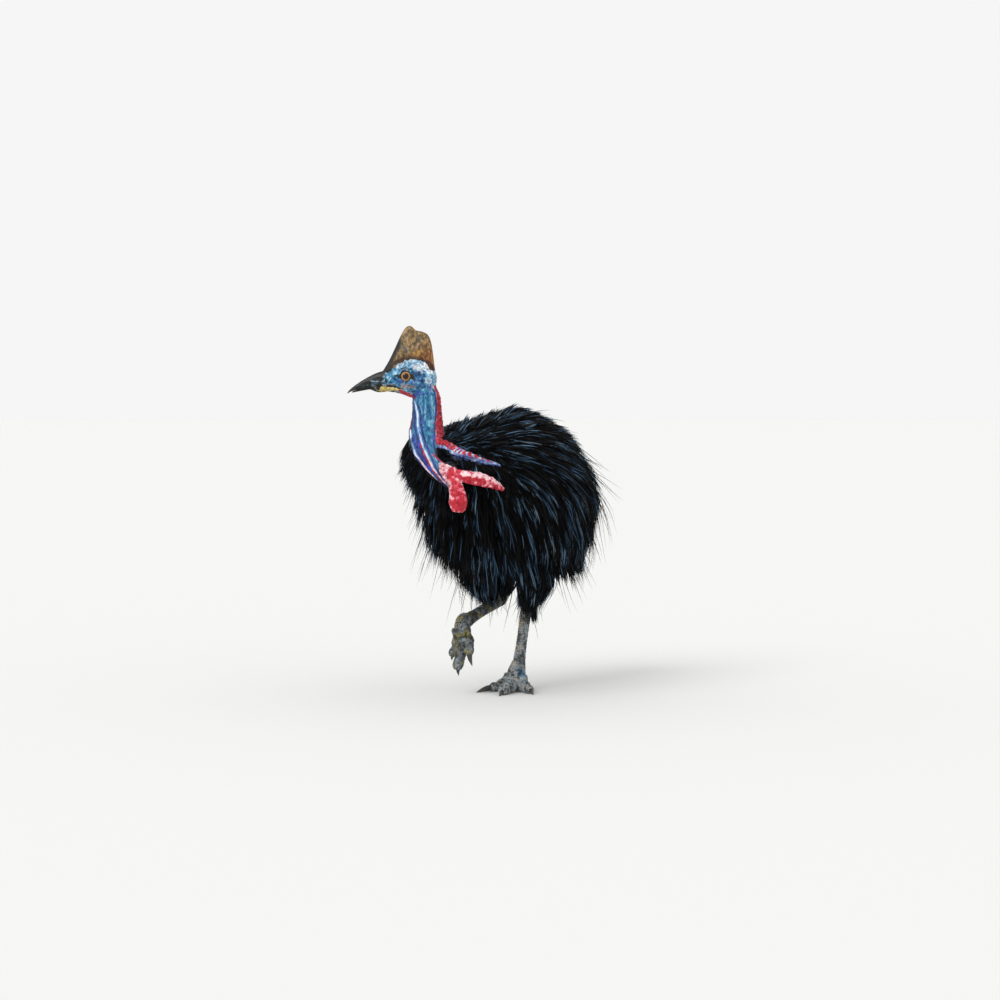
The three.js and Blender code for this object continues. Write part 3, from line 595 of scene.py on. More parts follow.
def tarsus_run(top, joint):
    t = np.linspace(0, 1, CUTS["tarsus"][1] + 1)[:, None]
    centres = np.array(top, float) * (1 - t) + np.array(joint, float) * t
    waist = np.sin(math.pi * t[:, 0])
    return centres, between(TARSUS["ends"], t[:, 0]) * (1 - waist) + TARSUS["middle"] * waist


def tarsus_rings(top, joint):
    centres, half = tarsus_run(top, joint)
    return loft(limb_rings(centres, half, half * TARSUS["deeper"], RIGHTWARD, CUTS["tarsus"][0]))


def toe_run(kind, count):
    t = np.linspace(0, 1, count + 1)
    along = between((TOE_START, kind["toe"]), t)
    swelling = 1 + TOE_THICKNESS["swelling"] * np.cos(t * math.pi * 4)
    half = kind["thick"] * between(TOE_THICKNESS["ends"], t) * swelling
    arch = between(TOE_ARCH["ends"], np.minimum(1, t * TOE_ARCH["slope"]))
    height = np.maximum(half - TOE_THICKNESS["flat"], arch)
    return np.stack([0 * along, -along, height], 1), half


def claw_run(kind, press, count):
    t = np.linspace(0, 1, count + 1)
    along = kind["toe"] - CLAW_ARCH["overlap"] + (kind["claw"] + CLAW_ARCH["overlap"]) * t
    half = kind["claw_radius"] * (1 - CLAW_ARCH["taper"] * t ** CLAW_ARCH["fullness"])
    foot, tip = kind["claw_radius"] + CLAW_ARCH["raise"], half[-1] - press
    height = between((foot, tip), t) + CLAW_ARCH["hump"] * np.sin(t * math.pi)
    return np.stack([0 * along, -along, height], 1), half


def turned(angle):
    """A turn about the upright axis"""
    c, s = math.cos(angle), math.sin(angle)
    return np.array([[c, -s, 0], [s, c, 0], [0, 0, 1]])


class Foot:
    """One foot's own frame: its toes ahead along -Y, its sole at z = 0"""

    def __init__(self, name, side, spread, turn, origin, pad, press):
        self.name, self.side, self.spread = name, side, spread
        self.turn, self.origin = turn, np.array(origin, float)
        self.pad, self.press = pad, press

    def place(self, points, toe_turn=0.0):
        return points @ turned(toe_turn).T @ self.turn.T + self.origin

    def toe_turn(self, kind):
        return self.side * kind["side"] * self.spread

    def pad_shape(self):
        sides, count = CUTS["pad"]
        half, ahead, sink = self.pad["half"], self.pad["ahead"], self.pad["sink"]
        t = np.linspace(0.06, math.pi - 0.06, count + 1)
        centres = np.stack([0 * t, -ahead + 0 * t, half[2] - sink + half[2] * np.cos(t)], 1)
        rings = ovals(centres, RIGHTWARD, [0, 1, 0], half[0] * np.sin(t), half[1] * np.sin(t), sides)
        return loft(self.place(rings))

    def toe_rings(self, kind):
        sides, count = CUTS["toe"]
        centres, half = toe_run(kind, count)
        beyond = centres[-1:] + [[0, -TOE_END["long"], -TOE_END["sink"]]]
        centres, half = np.vstack([centres, beyond]), np.append(half, half[-1] * TOE_END["size"])
        return self.place(limb_rings(centres, half, half, RIGHTWARD, sides), self.toe_turn(kind))

    def claw_rings(self, kind):
        sides, count = CUTS["claw"]
        centres, half = claw_run({**kind, "claw": kind["claw"] * CLAW_SHARE[self.name]}, self.press, count)
        rings = limb_rings(centres, half * CLAW_ARCH["slim"], half, RIGHTWARD, sides)
        return self.place(rings, self.toe_turn(kind))


def feet():
    standing = turned(LEFT_HEADING)
    ahead = unit(np.array(HANGING_FOOT["ahead"], float))
    across = squared(RIGHTWARD, ahead)
    up = np.cross(across, -ahead)
    hanging = np.stack([across, -ahead, up], 1)
    origin = np.array(RIGHT_FOOT_JOINT) - up * HANGING_FOOT["below"] + ahead * HANGING_FOOT["forward"]
    return (
        Foot("left", 1, SPREAD_STANDING, standing, (*LEFT_FOOT, 0), STANDING_PAD, CLAW_ARCH["press"]),
        Foot("right", -1, SPREAD_HANGING, hanging, origin, HANGING_PAD, 0),
    )


LEFT, RIGHT = feet()
LEGS = {
    "left": (LEFT, LEFT_TARSUS_TOP, LEFT_KNEE, (*LEFT_FOOT, LEFT_FOOT_JOINT_Z), LEFT_THIGH),
    "right": (RIGHT, RIGHT_TARSUS_TOP, RIGHT_KNEE, RIGHT_FOOT_JOINT, RIGHT_THIGH),
}


# Where things are on the bird


def neck_place(points):
    """How far back from the neck's middle and how far toward its near side points lie, over its half size"""
    across, toward, long, wide = columns_at(points[:, 2], NECK_LEVELS, 2, 0, 1, 3, 4)
    return (points @ ACROSS - across) / long, (points @ TOWARD - toward) / wide


def run_distance(points, line):
    """Distance from each point to a run of points, and how far along the run it is from 0 to 1"""
    best, place = np.full(len(points), 1e9), np.zeros(len(points))
    for index, (a, b) in enumerate(zip(line[:-1], line[1:])):
        way = b - a
        t = np.clip((points - a) @ way / max(way @ way, 1e-9), 0, 1)
        distance = np.linalg.norm(points - a - t[:, None] * way, axis=1)
        nearer = distance < best
        best[nearer] = distance[nearer]
        place[nearer] = (index + t[nearer]) / (len(line) - 1)
    return best, place


def bare_distance(points):
    """How far each point is from the bare skin of the neck and the shoulder stripes"""
    nearest = off_neck(points)
    for side in (1, -1):
        line, swell = stripe_line(side, ROUGH_STRIPE)
        distance, place = run_distance(points, line)
        tall = SHOULDER_STRIPE["tall"] * along_run(place, swell)
        nearest = np.minimum(nearest, distance - STRIPE_SHOWN * tall)
    return nearest


def off_neck(points):
    """How far each point is outside the neck"""
    centres, long, wide = neck_rows(NECK_LENGTHS)
    distance, place = run_distance(points, centres)
    return distance - along_run(place, (long + wide) / 2)


def neck_front(points):
    """1 where breast feathers climb the front of the neck's foot"""
    back = neck_place(points)[0]
    edge = np.interp(points[:, 2], (830, 900, 960, 1010), (-0.55, -0.72, -0.8, -0.92))
    return step(0.06, -0.06, back - edge) * step(1022, 1000, points[:, 2])


def neck_hind(points):
    """1 where shoulder feathers cover the back of the neck's foot"""
    back, z = neck_place(points)[0], points[:, 2]
    edge = np.interp(z, (915, 935, 952, 980), (1.02, 0.58, 0.42, 0.4))
    behind = step(edge - 0.05, edge + 0.08, back + 0.06 * ripple(points, 12, 12))
    return behind * step(992, 974, z) * step(903, 915, z)


def thigh_share(points):
    """1 on a thigh, 0 on the trunk"""
    share = np.zeros(len(points))
    for *_, table in LEGS.values():
        x, y, along, wide = columns_at(points[:, 2], table, 2, 0, 1, 3, 4)
        reach = np.hypot((points[:, 0] - x) / wide, (points[:, 1] - y) / along)
        share = np.maximum(share, step(1.18, 1.04, reach) * step(640, 560, points[:, 2]))
    return share


def coat_depth(points):
    """How far the skin lies under the tips of the plumage"""
    share = thigh_share(points)
    depth = COAT_DEPTH * (1 - share) + np.interp(points[:, 2], *zip(*THIGH_DEPTH)) * share
    return between((LEAST_DEPTH, depth), step(-8, BARE_EDGE, bare_distance(points)))


# The skin


def head_and_neck():
    wattles = [(WATTLE_HANGING, ACROSS), (WATTLE_SWUNG, UP), (WATTLE_ROOT, ACROSS)]
    shapes = [head_rings(), crown_rings(), neck_rings(), *(wattle_rings(*wattle) for wattle in wattles)]
    points, faces = fused("head_and_neck", shapes)
    return face_detail(neck_detail(points, faces), faces), faces


def neck_detail(points, faces):
    """Folds down the neck, a bumpy nape and grainy wattles"""
    normal = normals_of(points, faces)
    back = neck_place(points)[0]
    below_head = step(1205, 1160, points[:, 2])
    rise = np.zeros(len(points))
    for fold in NECK_FOLDS:
        rise += fold_strength(fold, points, back) * fold["rise"] * below_head
    flow = flow_of(points)
    wattle = wattle_share(points)
    rise += (1.5 * ripple(flow, 9, 3) + 0.8 * ripple(flow, 4.5, 4)) * below_head * (1 - wattle)
    rise += nape_share(points, back) * (1.0 + 1.1 * ripple(points, 7, 5) + 1.1 * ripple(points, 4, 6))
    rise += wattle * (1.3 * ripple(points * [1, 1, 0.45], 10, 7) + 1.0 * ripple(points, 5, 8) - 1.2)
    return points + normal * rise[:, None]


# Each fold of the neck: its heights, how far back it lies there, how broad it is and how far it stands out
NECK_FOLDS = [
    {"z": (828, 892, 953, 1002, 1065, 1117, 1169), "back": (-0.3, -0.16, -0.06, -0.23, -0.5, -0.63, -0.95),
     "broad": 0.085, "rise": 4.2},
    {"z": (824, 872, 914, 973, 1015, 1053), "back": (-0.75, -0.66, -0.6, -0.72, -0.86, -0.97),
     "broad": 0.08, "rise": 4.0},
    {"z": (850, 900, 960, 1020), "back": (0.05, 0.12, 0.2, 0.28), "broad": 0.09, "rise": 2.4},
    {"z": (880, 950, 1020, 1080), "back": (-0.42, -0.38, -0.48, -0.72), "broad": 0.07, "rise": 2.2},
]


def fold_line(fold, z):
    return np.interp(z, fold["z"], fold["back"])


def fold_strength(fold, points, back):
    """1 on the line of a fold of the neck, fading to each side"""
    z = points[:, 2]
    return bell(back, fold_line(fold, z), fold["broad"]) * window(fold["z"][0], fold["z"][-1], 12, z)


def nape_share(points, back):
    """1 on the bumpy crimson band down the nape: a thin line below the head, broad at the shoulders"""
    z = points[:, 2]
    edge = np.interp(z, (985, 1010, 1060, 1130, 1180, 1225), (0.8, 0.52, 0.57, 0.72, 0.83, 1.02))
    band = step(edge - 0.05, edge + 0.07, back + 0.05 * ripple(points, 9, 9)) * step(1.45, 1.2, back)
    rim = np.interp(z, (912, 935, 952, 980), (0.98, 0.5, 0.34, 0.3))
    thin = bell(back, rim, 0.07) * step(972, 950, z) * step(900, 912, z)
    return np.maximum(band * step(985, 1004, z), 0.9 * thin) * step(1236, 1205, z)


FLOW_JOIN = 1180


def flow_of(points):
    """Places for the skin's streaks, stretched along the neck and along the shoulder stripes"""
    ahead, side, _ = head_place(points)
    back, near = neck_place(points)
    height = points[:, 2] - FLOW_JOIN
    neck = np.stack([back * 56, near * 46, height * 0.34], 1)
    face = np.stack([(-79 - ahead) * 0.75, side, height * 0.8], 1)
    share = step(-40, 30, height)[:, None]
    flow = neck * (1 - share) + face * share
    outside = step(7, 20, off_neck(points))
    for sign in (1, -1):
        line = stripe_line(sign, FINE_STRIPE)[0]
        distance, place = run_distance(points, line)
        height = points[:, 2] - along_run(place, line[:, 2])
        inside = (step(60, 34, distance) * outside)[:, None]
        flow = flow * (1 - inside) + np.stack([place * 70, height, distance], 1) * inside
    wattle = wattle_share(points)[:, None]
    flow = flow * (1 - wattle) + points * wattle
    leg = step(560, 520, points[:, 2])[:, None]
    return flow * (1 - leg) + points * [1, 1, 0.6] * leg


def wattle_share(points):
    share = np.zeros(len(points))
    for table in (WATTLE_HANGING, WATTLE_SWUNG):
        rows = eased(table, WATTLE_LENGTHS)
        distance, place = run_distance(points, middle_of(rows))
        radius = along_run(place, rows[:, 3])
        share = np.maximum(share, step(radius + 16, radius + 4, distance))
    return share


def eyeball_side(round_eye):
    """How far to the side the eyeball's face is, at distances from the middle of the eye"""
    return EYE["side"] + EYE["flatten"] * np.sqrt(np.maximum(EYE["radius"] ** 2 - round_eye**2, 0))


def blob(ahead, up, middle, reach):
    """1 at a place on the side of the head, fading out over its reach"""
    return np.exp(-(((ahead - middle[0]) / reach[0]) ** 2 + ((up - middle[1]) / reach[1]) ** 2))


def side_distance(ahead, up, knots):
    """Distance on the side of the head from a line, given by how far ahead and how high its knots are"""
    line = np.array([(knot[0], 0, knot[1]) for knot in knots], float)
    return run_distance(np.stack([ahead, 0 * ahead, up], 1), line)[0]


def face_detail(points, faces):
    """Sockets, lids, ears, the corner of the mouth and full cheeks"""
    normal = normals_of(points, faces)
    ahead, side, up = head_place(points)
    on_head = (np.abs(side) < FACE["side"]) & (ahead > FACE["back"]) & (up > FACE["low"])
    points = points.copy()
    opening = EYE["opening"]
    round_eye = np.hypot(ahead / LID["stretch"], up)
    rim = eyeball_side(opening) + 2.6 + LID["roll"] * bell(round_eye - opening, 2.5, 2.2)
    brow = LID["brow"] * bell(up, 27, 7) * step(34, 14, np.abs(ahead + 4)) * step(opening, 24, round_eye)
    share = step(opening, LID["reach"] - 1, round_eye)
    for sign in (1, -1):
        current = side * sign
        lid = rim * (1 - share) + current * share + brow
        target = np.where(round_eye < opening, eyeball_side(round_eye) - 5, lid)
        moved = on_head & (current > 6) & (round_eye < LID["reach"])
        points[moved] += ((target - current)[moved] * sign)[:, None] * TOWARD
    ear = np.hypot(ahead - EAR["ahead"], up - EAR["up"])
    cup = -4.5 * bell(ear, 0, EAR["radius"]) + 1.6 * bell(ear, 12, 4)
    gape = side_distance(ahead, up, GAPE)
    mouth = -3.2 * bell(gape, 0, 2.6) + 1.8 * bell(gape, 7, 3.5)
    front = step(-10, 30, ahead)
    cheek = 2.2 * blob(ahead, up, (-8, -44), (26, 14))
    wrinkle = 0.8 * ripple(points, 9, 11) * step(18, 40, np.hypot(ahead, up))
    rise = on_head * (cup * (np.abs(side) > 8) + mouth * front * (np.abs(side) > 5) + cheek + wrinkle)
    return points + normal * rise[:, None]


def trunk_outline():
    shapes = [trunk_rings()] + [thigh_rings(leg[4]) for leg in LEGS.values()]
    return fused("outline", shapes)


def trunk_skin(outline):
    points, faces = outline
    return points - normals_of(points, faces) * coat_depth(points)[:, None], faces


def ankle_rings(foot):
    """The flare of the standing leg down to the roots of its toes"""
    sides, count = CUTS["ankle"]
    z, half = eased(ANKLE, count).T
    heights = (LEFT_FOOT_JOINT_Z, LEFT_TARSUS_TOP[2])
    line = np.stack([np.interp(z, heights, (LEFT_FOOT[k], LEFT_TARSUS_TOP[k])) for k in (0, 1)], 1)
    forward = foot.place(np.array([[0.0, -12.0, 0.0]]))[0, :2] - foot.origin[:2]
    centres = np.column_stack([line + forward * step(120, 60, z)[:, None], z])
    return loft(limb_rings(centres, half, half * ANKLE_DEEPER, RIGHTWARD, sides))


def leg_skin(name):
    foot, top, knee, joint, _ = LEGS[name]
    shapes = [shank_rings(top, knee), tarsus_rings(top, joint), foot.pad_shape()]
    if foot is LEFT:
        shapes.append(ankle_rings(foot))
    shapes += [loft(foot.toe_rings(kind)) for kind in TOES.values()]
    points, faces = fused("leg_" + name, shapes)
    lift = 0.6 * ripple(points, 6, 21)
    points = points + normals_of(points, faces) * lift[:, None]
    return grounded(points) if foot is LEFT else points, faces


def united(name, shapes):
    """One closed surface over several closed bodies"""
    pieces = [build(f"{name}_{index}", *shape) for index, shape in enumerate(shapes)]
    whole = pieces[0]
    for other in pieces[1:]:
        join = whole.modifiers.new("join", "BOOLEAN")
        join.operation = "UNION"
        join.solver = "MANIFOLD"
        join.object = other
        apply_modifiers(whole)
        discard(other)
    points, faces = arrays(whole)
    discard(whole)
    return points, faces


# The flat map of the skin: each stretch of the body is unrolled round a line through it


TRUNK_LINE = [(60, -470, 860), (0, -100, 850), (-50, 200, 820), (-70, 440, 760)]


def charts():
    """For each stretch its line, its radius and its rectangle on the map"""
    head_line = head_point(np.array([90, 0, -60]), 0, np.array([-16, -10, -12]))
    found = [
        (np.array(TRUNK_LINE, float), 250, (0, 0.5, 1, 0.5)),
        (np.vstack([head_line, neck_rows(14)[0][1:]]), 50, (0, 0, 0.42, 0.5)),
    ]
    for index, table in enumerate((WATTLE_HANGING, WATTLE_SWUNG)):
        found.append((middle_of(table), 30, (0.43, 0.25 * index, 0.09, 0.24)))
    for index, (foot, top, _, joint, thigh) in enumerate(LEGS.values()):
        left = 0.53 + 0.235 * index
        found.append((np.array(thigh, float)[1:, :3], 75, (left, 0.0, 0.11, 0.49)))
        found.append((np.array([top, joint], float), 25, (left + 0.115, 0.0, 0.055, 0.49)))
        for number, kind in enumerate(TOES.values()):
            line = foot.place(toe_run(kind, 6)[0], foot.toe_turn(kind))
            found.append((line, 22, (left + 0.175, 0.165 * number, 0.05, 0.155)))
    return found


CHARTS = charts()


def chart_of(points):
    """Which stretch of the body each point belongs to"""
    share = np.stack([run_distance(points, line)[0] / radius for line, radius, _ in CHARTS])
    return share.argmin(0)


def chart_place(points, chart):
    """Turn round a stretch's line and place along it, from 0 to 1 each"""
    turn, place = np.zeros(len(points)), np.zeros(len(points))
    for index, (line, _, _) in enumerate(CHARTS):
        mine = chart == index
        if not mine.any():
            continue
        way = unit(line[-1] - line[0])
        first = squared(RIGHTWARD if abs(way[0]) < 0.9 else UP, way)
        second = np.cross(way, first)
        _, along = run_distance(points[mine], line)
        at = np.stack([along_run(along, line[:, k]) for k in range(3)], 1)
        offset = points[mine] - at
        turn[mine] = np.arctan2(offset @ second, offset @ first) / math.tau
        beyond = (offset @ way) / np.linalg.norm(line[-1] - line[0])
        place[mine] = along + beyond
    return turn, place


def on_map(turn, place, chart):
    rectangles = np.array([rectangle for _, _, rectangle in CHARTS])[chart]
    u = rectangles[:, 0] + rectangles[:, 2] * (0.06 + 0.88 * (turn + 0.5))
    v = rectangles[:, 1] + rectangles[:, 3] * np.clip(0.12 + 0.76 * place, 0.005, 0.995)
    return np.stack([u, v], 1)


def skin_map(points, faces):
    """The flat map of a whole mesh, corner by corner"""
    corners = []
    for group in faces:
        centre = points[group].mean(1)
        chart = chart_of(centre)
        middle, _ = chart_place(centre, chart)
        each = np.repeat(chart, group.shape[1])
        turn, place = chart_place(points[group].reshape(-1, 3), each)
        middle = np.repeat(middle, group.shape[1])
        turn = middle + (turn - middle + 0.5) % 1 - 0.5
        corners.append(on_map(np.clip(turn, -0.55, 0.55), place, each))
    return np.vstack(corners)


def root_map(points):
    chart = chart_of(points)
    return on_map(*chart_place(points, chart), chart)


# Marks on the side of the head: where, how far they reach and how strong they are
NAVY_PATCHES = [
    ((-52, 10), (12, 13), 0.8), ((-60, -18), (14, 9), 0.8), ((-70, -38), (10, 12), 0.6),
    ((-40, -40), (14, 6), 0.75), ((-88, -18), (8, 8), 0.55), ((14, -25), (20, 4), 0.8),
    ((-34, -74), (16, 8), 0.9), ((26, 21), (8, 4), 0.6), ((-24, 30), (12, 4), 0.6),
    ((44, -8), (6, 10), 0.5), ((56, 16), (8, 5), 0.5), ((-56, -60), (8, 16), 0.6),
]
ROYAL_PATCHES = [
    ((-32, -20), (12, 12), 1), ((-66, 16), (14, 8), 1), ((-46, -66), (12, 12), 1), ((-96, -46), (8, 20), 1),
    ((20, -22), (12, 6), 1),
]
BLACK_PATCHES = [((31, 1), (13, 8), 0.95), ((-28, -3), (9, 17), 0.95), ((-28, -60), (12, 7), 0.75)]
GREY_PATCHES = [((-6, -39), (33, 10), 1.2), ((4, 26), (16, 3.5), 0.8)]
# Lines on the side of the head: ahead and up of each knot
CHIN = [(100, -60), (60, -60), (34, -66)]
LIP = [(96, -28), (70, -32), (48, -35)]
JAW = [(92, -49), (50, -49), (22, -55)]
THROAT = [(20, -58), (-6, -68), (-30, -82)]
# The root of the wattles: across, toward and height of each knot
WATTLE_JOIN = [(-240, 446, 906), (-212, 470, 872), (-222, 452, 838)]


def patches(ahead, up, table):
    return sum(blob(ahead, up, middle, reach) * much for middle, reach, much in table)


def head_marks(points, head, blur, fine):
    """The colours of the head alone, not yet held to 1"""
    ahead, _, up = head_place(points)
    ahead = ahead + 3.2 * ripple(points, 11, 41) + 1.6 * ripple(points, 5, 42)
    up = up + 2.6 * ripple(points, 11, 43) + 1.6 * ripple(points, 5, 44)
    crown = step(16, 44, up + 0.2 * -ahead + 10 * blur) * step(74, 20, ahead)
    hind = step(-56, -98, ahead + 12 * blur) * step(-70, -34, up)
    lid = bell(np.hypot(ahead, up), 20.5, 2.8)
    brow = bell(up + 0.3 * np.abs(ahead - 6), 33, 2.6) * step(30, 18, np.abs(ahead + 2))
    mouth = 1.1 * bell(side_distance(ahead, up, GAPE), 0, 4.0)
    chin = 0.9 * step(7, 3, side_distance(ahead, up, CHIN))
    lore = np.maximum(step(74, 88, ahead + 6 * fine + 5 * blur), chin)
    lip = step(7, 3, side_distance(ahead, up, LIP)) * step(90, 70, ahead)
    marks = {
        "pale": np.clip(np.maximum(0.95 * crown, hind), 0, 1),
        "navy": patches(ahead, up, NAVY_PATCHES),
        "royal": patches(ahead, up, ROYAL_PATCHES),
        "black": patches(ahead, up, BLACK_PATCHES) + 0.8 * lid + 0.8 * brow + mouth + lore,
        "grey": np.clip(patches(ahead, up, GREY_PATCHES) + lip, 0, 1),
        "yellow": step(8, 4.5, side_distance(ahead, up, JAW) + 1.2 * fine),
        "red": step(9, 4.5, side_distance(ahead, up, THROAT) + 2 * fine),
    }
    return {label: values * head for label, values in marks.items()}


def stripe_marks(side, points, back, blur, fine):
    """One shoulder's stripe, its deep blue foot, its black rim, its crimson edge and where that edge rules"""
    middle, swell = stripe_line(side, FINE_STRIPE)
    distance, place = run_distance(points, middle)
    tall = SHOULDER_STRIPE["tall"] * along_run(place, swell)
    height = (points[:, 2] - along_run(place, middle[:, 2])) / tall
    near = step(1.9 * tall + 6, 1.2 * tall, distance)
    dashes = step(-0.5, 0.2, np.sin(place * STRIPE_DASHES + 2.0 * blur) + 0.4 * fine)
    dashes = np.maximum(dashes, step(0.34, 0.16, place)) * step(0.96, 0.84, place)
    low_edge = np.interp(place, (0.1, 0.3, 0.6, 1.0), (0.0, 0.06, 0.24, 0.5))
    edging = near * step(low_edge - 0.1, low_edge + 0.16, height + 0.15 * blur) * dashes
    deep = near * step(-0.5, -0.75, height + 0.4 * fine)
    rim = near * step(-0.65, -0.9, height + 0.3 * fine)
    return near, deep, rim, edging, near * step(0.9, 1.1, back)


def neck_blues(back, z, streak, blur):
    """The dark and the royal blue between the folds of the neck; the dark lines beside each pale fold are
    painted shadow
    """
    fold_shadows = np.zeros(len(z))
    # Painted shadow: a dark navy line to each side of the two long pale folds
    for fold in NECK_FOLDS[:2]:
        top = fold["z"][-1]
        beside = bell(np.abs(back - fold_line(fold, z)), 0.2, 0.085)
        fold_shadows = np.maximum(fold_shadows, beside * step(top, top - 40, z))
    low = step(1120, 965, z)
    middle = step(-1.0, -0.85, back) * step(0.0, -0.2, back) * low
    front = step(-0.72, -0.95, back) * step(1215, 1170, z)
    wedge = step(-0.25, 0.0, back) * step(1.1, 0.9, back) * step(925, 875, z + 8 * blur)
    edge = bell(back, np.interp(z, (1000, 1130, 1215), (0.42, 0.66, 0.78)), 0.08)
    washed = (0.25 + 0.4 * low) * streak * step(1180, 1090, z)
    streaked = middle * (0.35 + 0.5 * streak)
    dark = highest(fold_shadows * 0.9, streaked, front * 0.9, wedge * 0.95, edge * 0.75, washed)
    # Royal blue is also laid along the painted shadow lines beside the folds
    royal = np.maximum(fold_shadows, edge) * (0.3 + 0.6 * streak) + 0.5 * middle * streak
    return dark * step(1230, 1200, z), royal


def wattle_root(points, back, z, bare, blur, fine):
    """1 on the pink skin from which the wattles grow"""
    root = run_distance(points, middle_of(WATTLE_JOIN))[0]
    root = step(50, 32, root + 6 * blur) * (1 - neck_front(points)) * step(932, 918, z + 4 * fine)
    side_edge = np.interp(z, (830, 870, 917, 936), (0.02, 0.2, 0.48, 0.6)) + 0.05 * blur
    triangle = step(-0.05, 0.06, back - side_edge) * step(1.7, 1.4, back)
    triangle = triangle * step(946, 932, z) * step(22, 8, bare)
    return np.maximum(root * step(-0.35, -0.1, back - side_edge), triangle) * (1 - neck_hind(points))


def wattle_pallor(points, z, blur, fine):
    """1 where the wattles are pale: the upper side of the swung one, both sides of the hanging one"""
    line = middle_of(eased(WATTLE_SWUNG, 12))
    distance, place = run_distance(points, line)
    height = z - along_run(place, line[:, 2])
    swung = step(34, 26, distance) * step(0.1, 0.3, place) * step(-6, 10, height + 4 * fine)
    hanging = step(0.5, 0.85, np.abs(points @ ACROSS + 190 + 5 * blur) / 33) * step(880, 850, z)
    return np.clip(0.75 * swung + 0.7 * hanging * step(0.1, 0.02, place), 0, 1)


def skin_marks(points):
    """Where each colour of the skin lies, from 0 to 1"""
    back, z = neck_place(points)[0], points[:, 2]
    blur, fine = ripple(points, 22, 31), ripple(points, 9, 32)
    flow, bare, wattle = flow_of(points), bare_distance(points), wattle_share(points)
    head = step(1150, 1185, z) * (np.abs(head_place(points)[1]) < 70)
    leg = step(560, 520, z)
    on_neck = step(14, 2, bare) * step(815, 832, z) * (1 - wattle)
    feathered = step(8, 26, bare + 5 * fine) * (1 - leg)
    covered = highest(feathered, neck_front(points), neck_hind(points)) * (1 - head) * (1 - wattle)
    marks = head_marks(points, head, blur, fine)
    # dark carries the neck's navy, with the painted shadow lines beside the folds among it
    dark, royal = neck_blues(back, z, 0.5 + 0.5 * ripple(flow, 12, 33), blur)
    nape = nape_share(points, back) * step(14, 2, bare)
    red = highest(marks["red"], nape, red_lines(points, back) * on_neck)
    stripes, deep, rims = np.zeros((3, len(points)))
    for side in (1, -1):
        near, blue, rim, edging, ruled = stripe_marks(side, points, back, blur, fine)
        stripes, deep, rims = np.maximum(stripes, near), np.maximum(deep, blue), np.maximum(rims, rim)
        red = np.maximum(red * (1 - ruled), edging)
    fold = np.clip(sum(fold_strength(each, points, back) ** 1.7 for each in NECK_FOLDS[:2]), 0, 1) * on_neck
    root = wattle_root(points, back, z, bare, blur, fine) * (1 - wattle)
    return {
        **marks, "flow": flow / 1000, "leg": leg, "red": red, "fold": fold, "wattle": wattle,
        "navy": np.maximum(np.clip(marks["navy"] + dark * on_neck, 0, 1), deep * 0.9),
        "royal": np.clip(0.85 * (0.8 * marks["royal"] + 0.75 * royal * on_neck), 0, 1),
        "black": np.maximum(np.clip(marks["black"], 0, 1), rims),
        "stripe": stripes * (1 - head) * (1 - red),
        "feathered": covered * (1 - stripes) * (1 - root),
        "pink": np.clip(root + 0.95 * fold * step(1010, 900, z), 0, 1),
        "blanched": wattle_pallor(points, z, blur, fine) * wattle,
        "teal": skin_teal(points),
    }


def red_lines(points, back):
    """1 on the thin crimson lines beside the pale folds and on the edge of the throat"""
    z = points[:, 2]
    share = 0.9 * bell(back, -1.02, 0.07) * step(1036, 1050, z) * step(1112, 1098, z)
    for fold, top in zip(NECK_FOLDS[:2], (1010, 905)):
        beside = bell(back, fold_line(fold, z) - 0.12, 0.05) * step(top, top - 20, z)
        share = np.maximum(share, beside * step(-1.3, -0.3, ripple(points, 14, 47)))
    return share


def skin_teal(points):
    """1 on the blue-green patch at the ankle of the standing leg"""
    return 0.7 * step(1.2, 0.4, np.linalg.norm((points - [10, 66, 72]) / [30, 30, 24], axis=1))


# Materials


def linear(colour):
    """An sRGB hex colour as the renderer's linear red, green, blue and alpha"""
    parts = [int(colour[k:k + 2], 16) / 255 for k in (1, 3, 5)]
    return (*(p / 12.92 if p <= 0.04045 else ((p + 0.055) / 1.055) ** 2.4 for p in parts), 1.0)


def add(tree, kind, settings=None, links=None, stops=None):
    """Adds a node, sets its settings and its inputs' values, and links the inputs given as outputs"""
    node = tree.nodes.new(kind)
    for name, value in (settings or {}).items():
        setattr(node, name, value)
    if stops:
        ramp = node.color_ramp
        while len(ramp.elements) < len(stops):
            ramp.elements.new(1.0)
        for element, (place, colour) in zip(ramp.elements, stops):
            element.position = place
            element.color = linear(colour)
    for name, value in (links or {}).items():
        if isinstance(value, bpy.types.NodeSocket):
            tree.links.new(value, node.inputs[name])
        else:
            node.inputs[name].default_value = value
    return node


def finish_of(name, **values):
    """A new material and its shader"""
    material = bpy.data.materials.new(name)
    material.use_nodes = True
    tree = material.node_tree
    shader = tree.nodes["Principled BSDF"]
    for label, value in values.items():
        shader.inputs[label.replace("_", " ")].default_value = value
    return material, tree, shader


def noise(tree, size, detail, roughness, stretch=None, over=None):
    """Noise whose lumps are about size millimetres across, over the piece or over a mark of places"""
    place = add(tree, "ShaderNodeTexCoord").outputs["Object"]
    if over:
        place = add(tree, "ShaderNodeAttribute", {"attribute_name": over}).outputs["Vector"]
    if stretch:
        place = add(tree, "ShaderNodeMapping", links={"Vector": place, "Scale": stretch}).outputs["Vector"]
    links = {"Vector": place, "Scale": 500 / size, "Detail": detail, "Roughness": roughness}
    return add(tree, "ShaderNodeTexNoise", links=links).outputs["Fac"]


def mark(tree, name):
    return add(tree, "ShaderNodeAttribute", {"attribute_name": name}).outputs["Fac"]


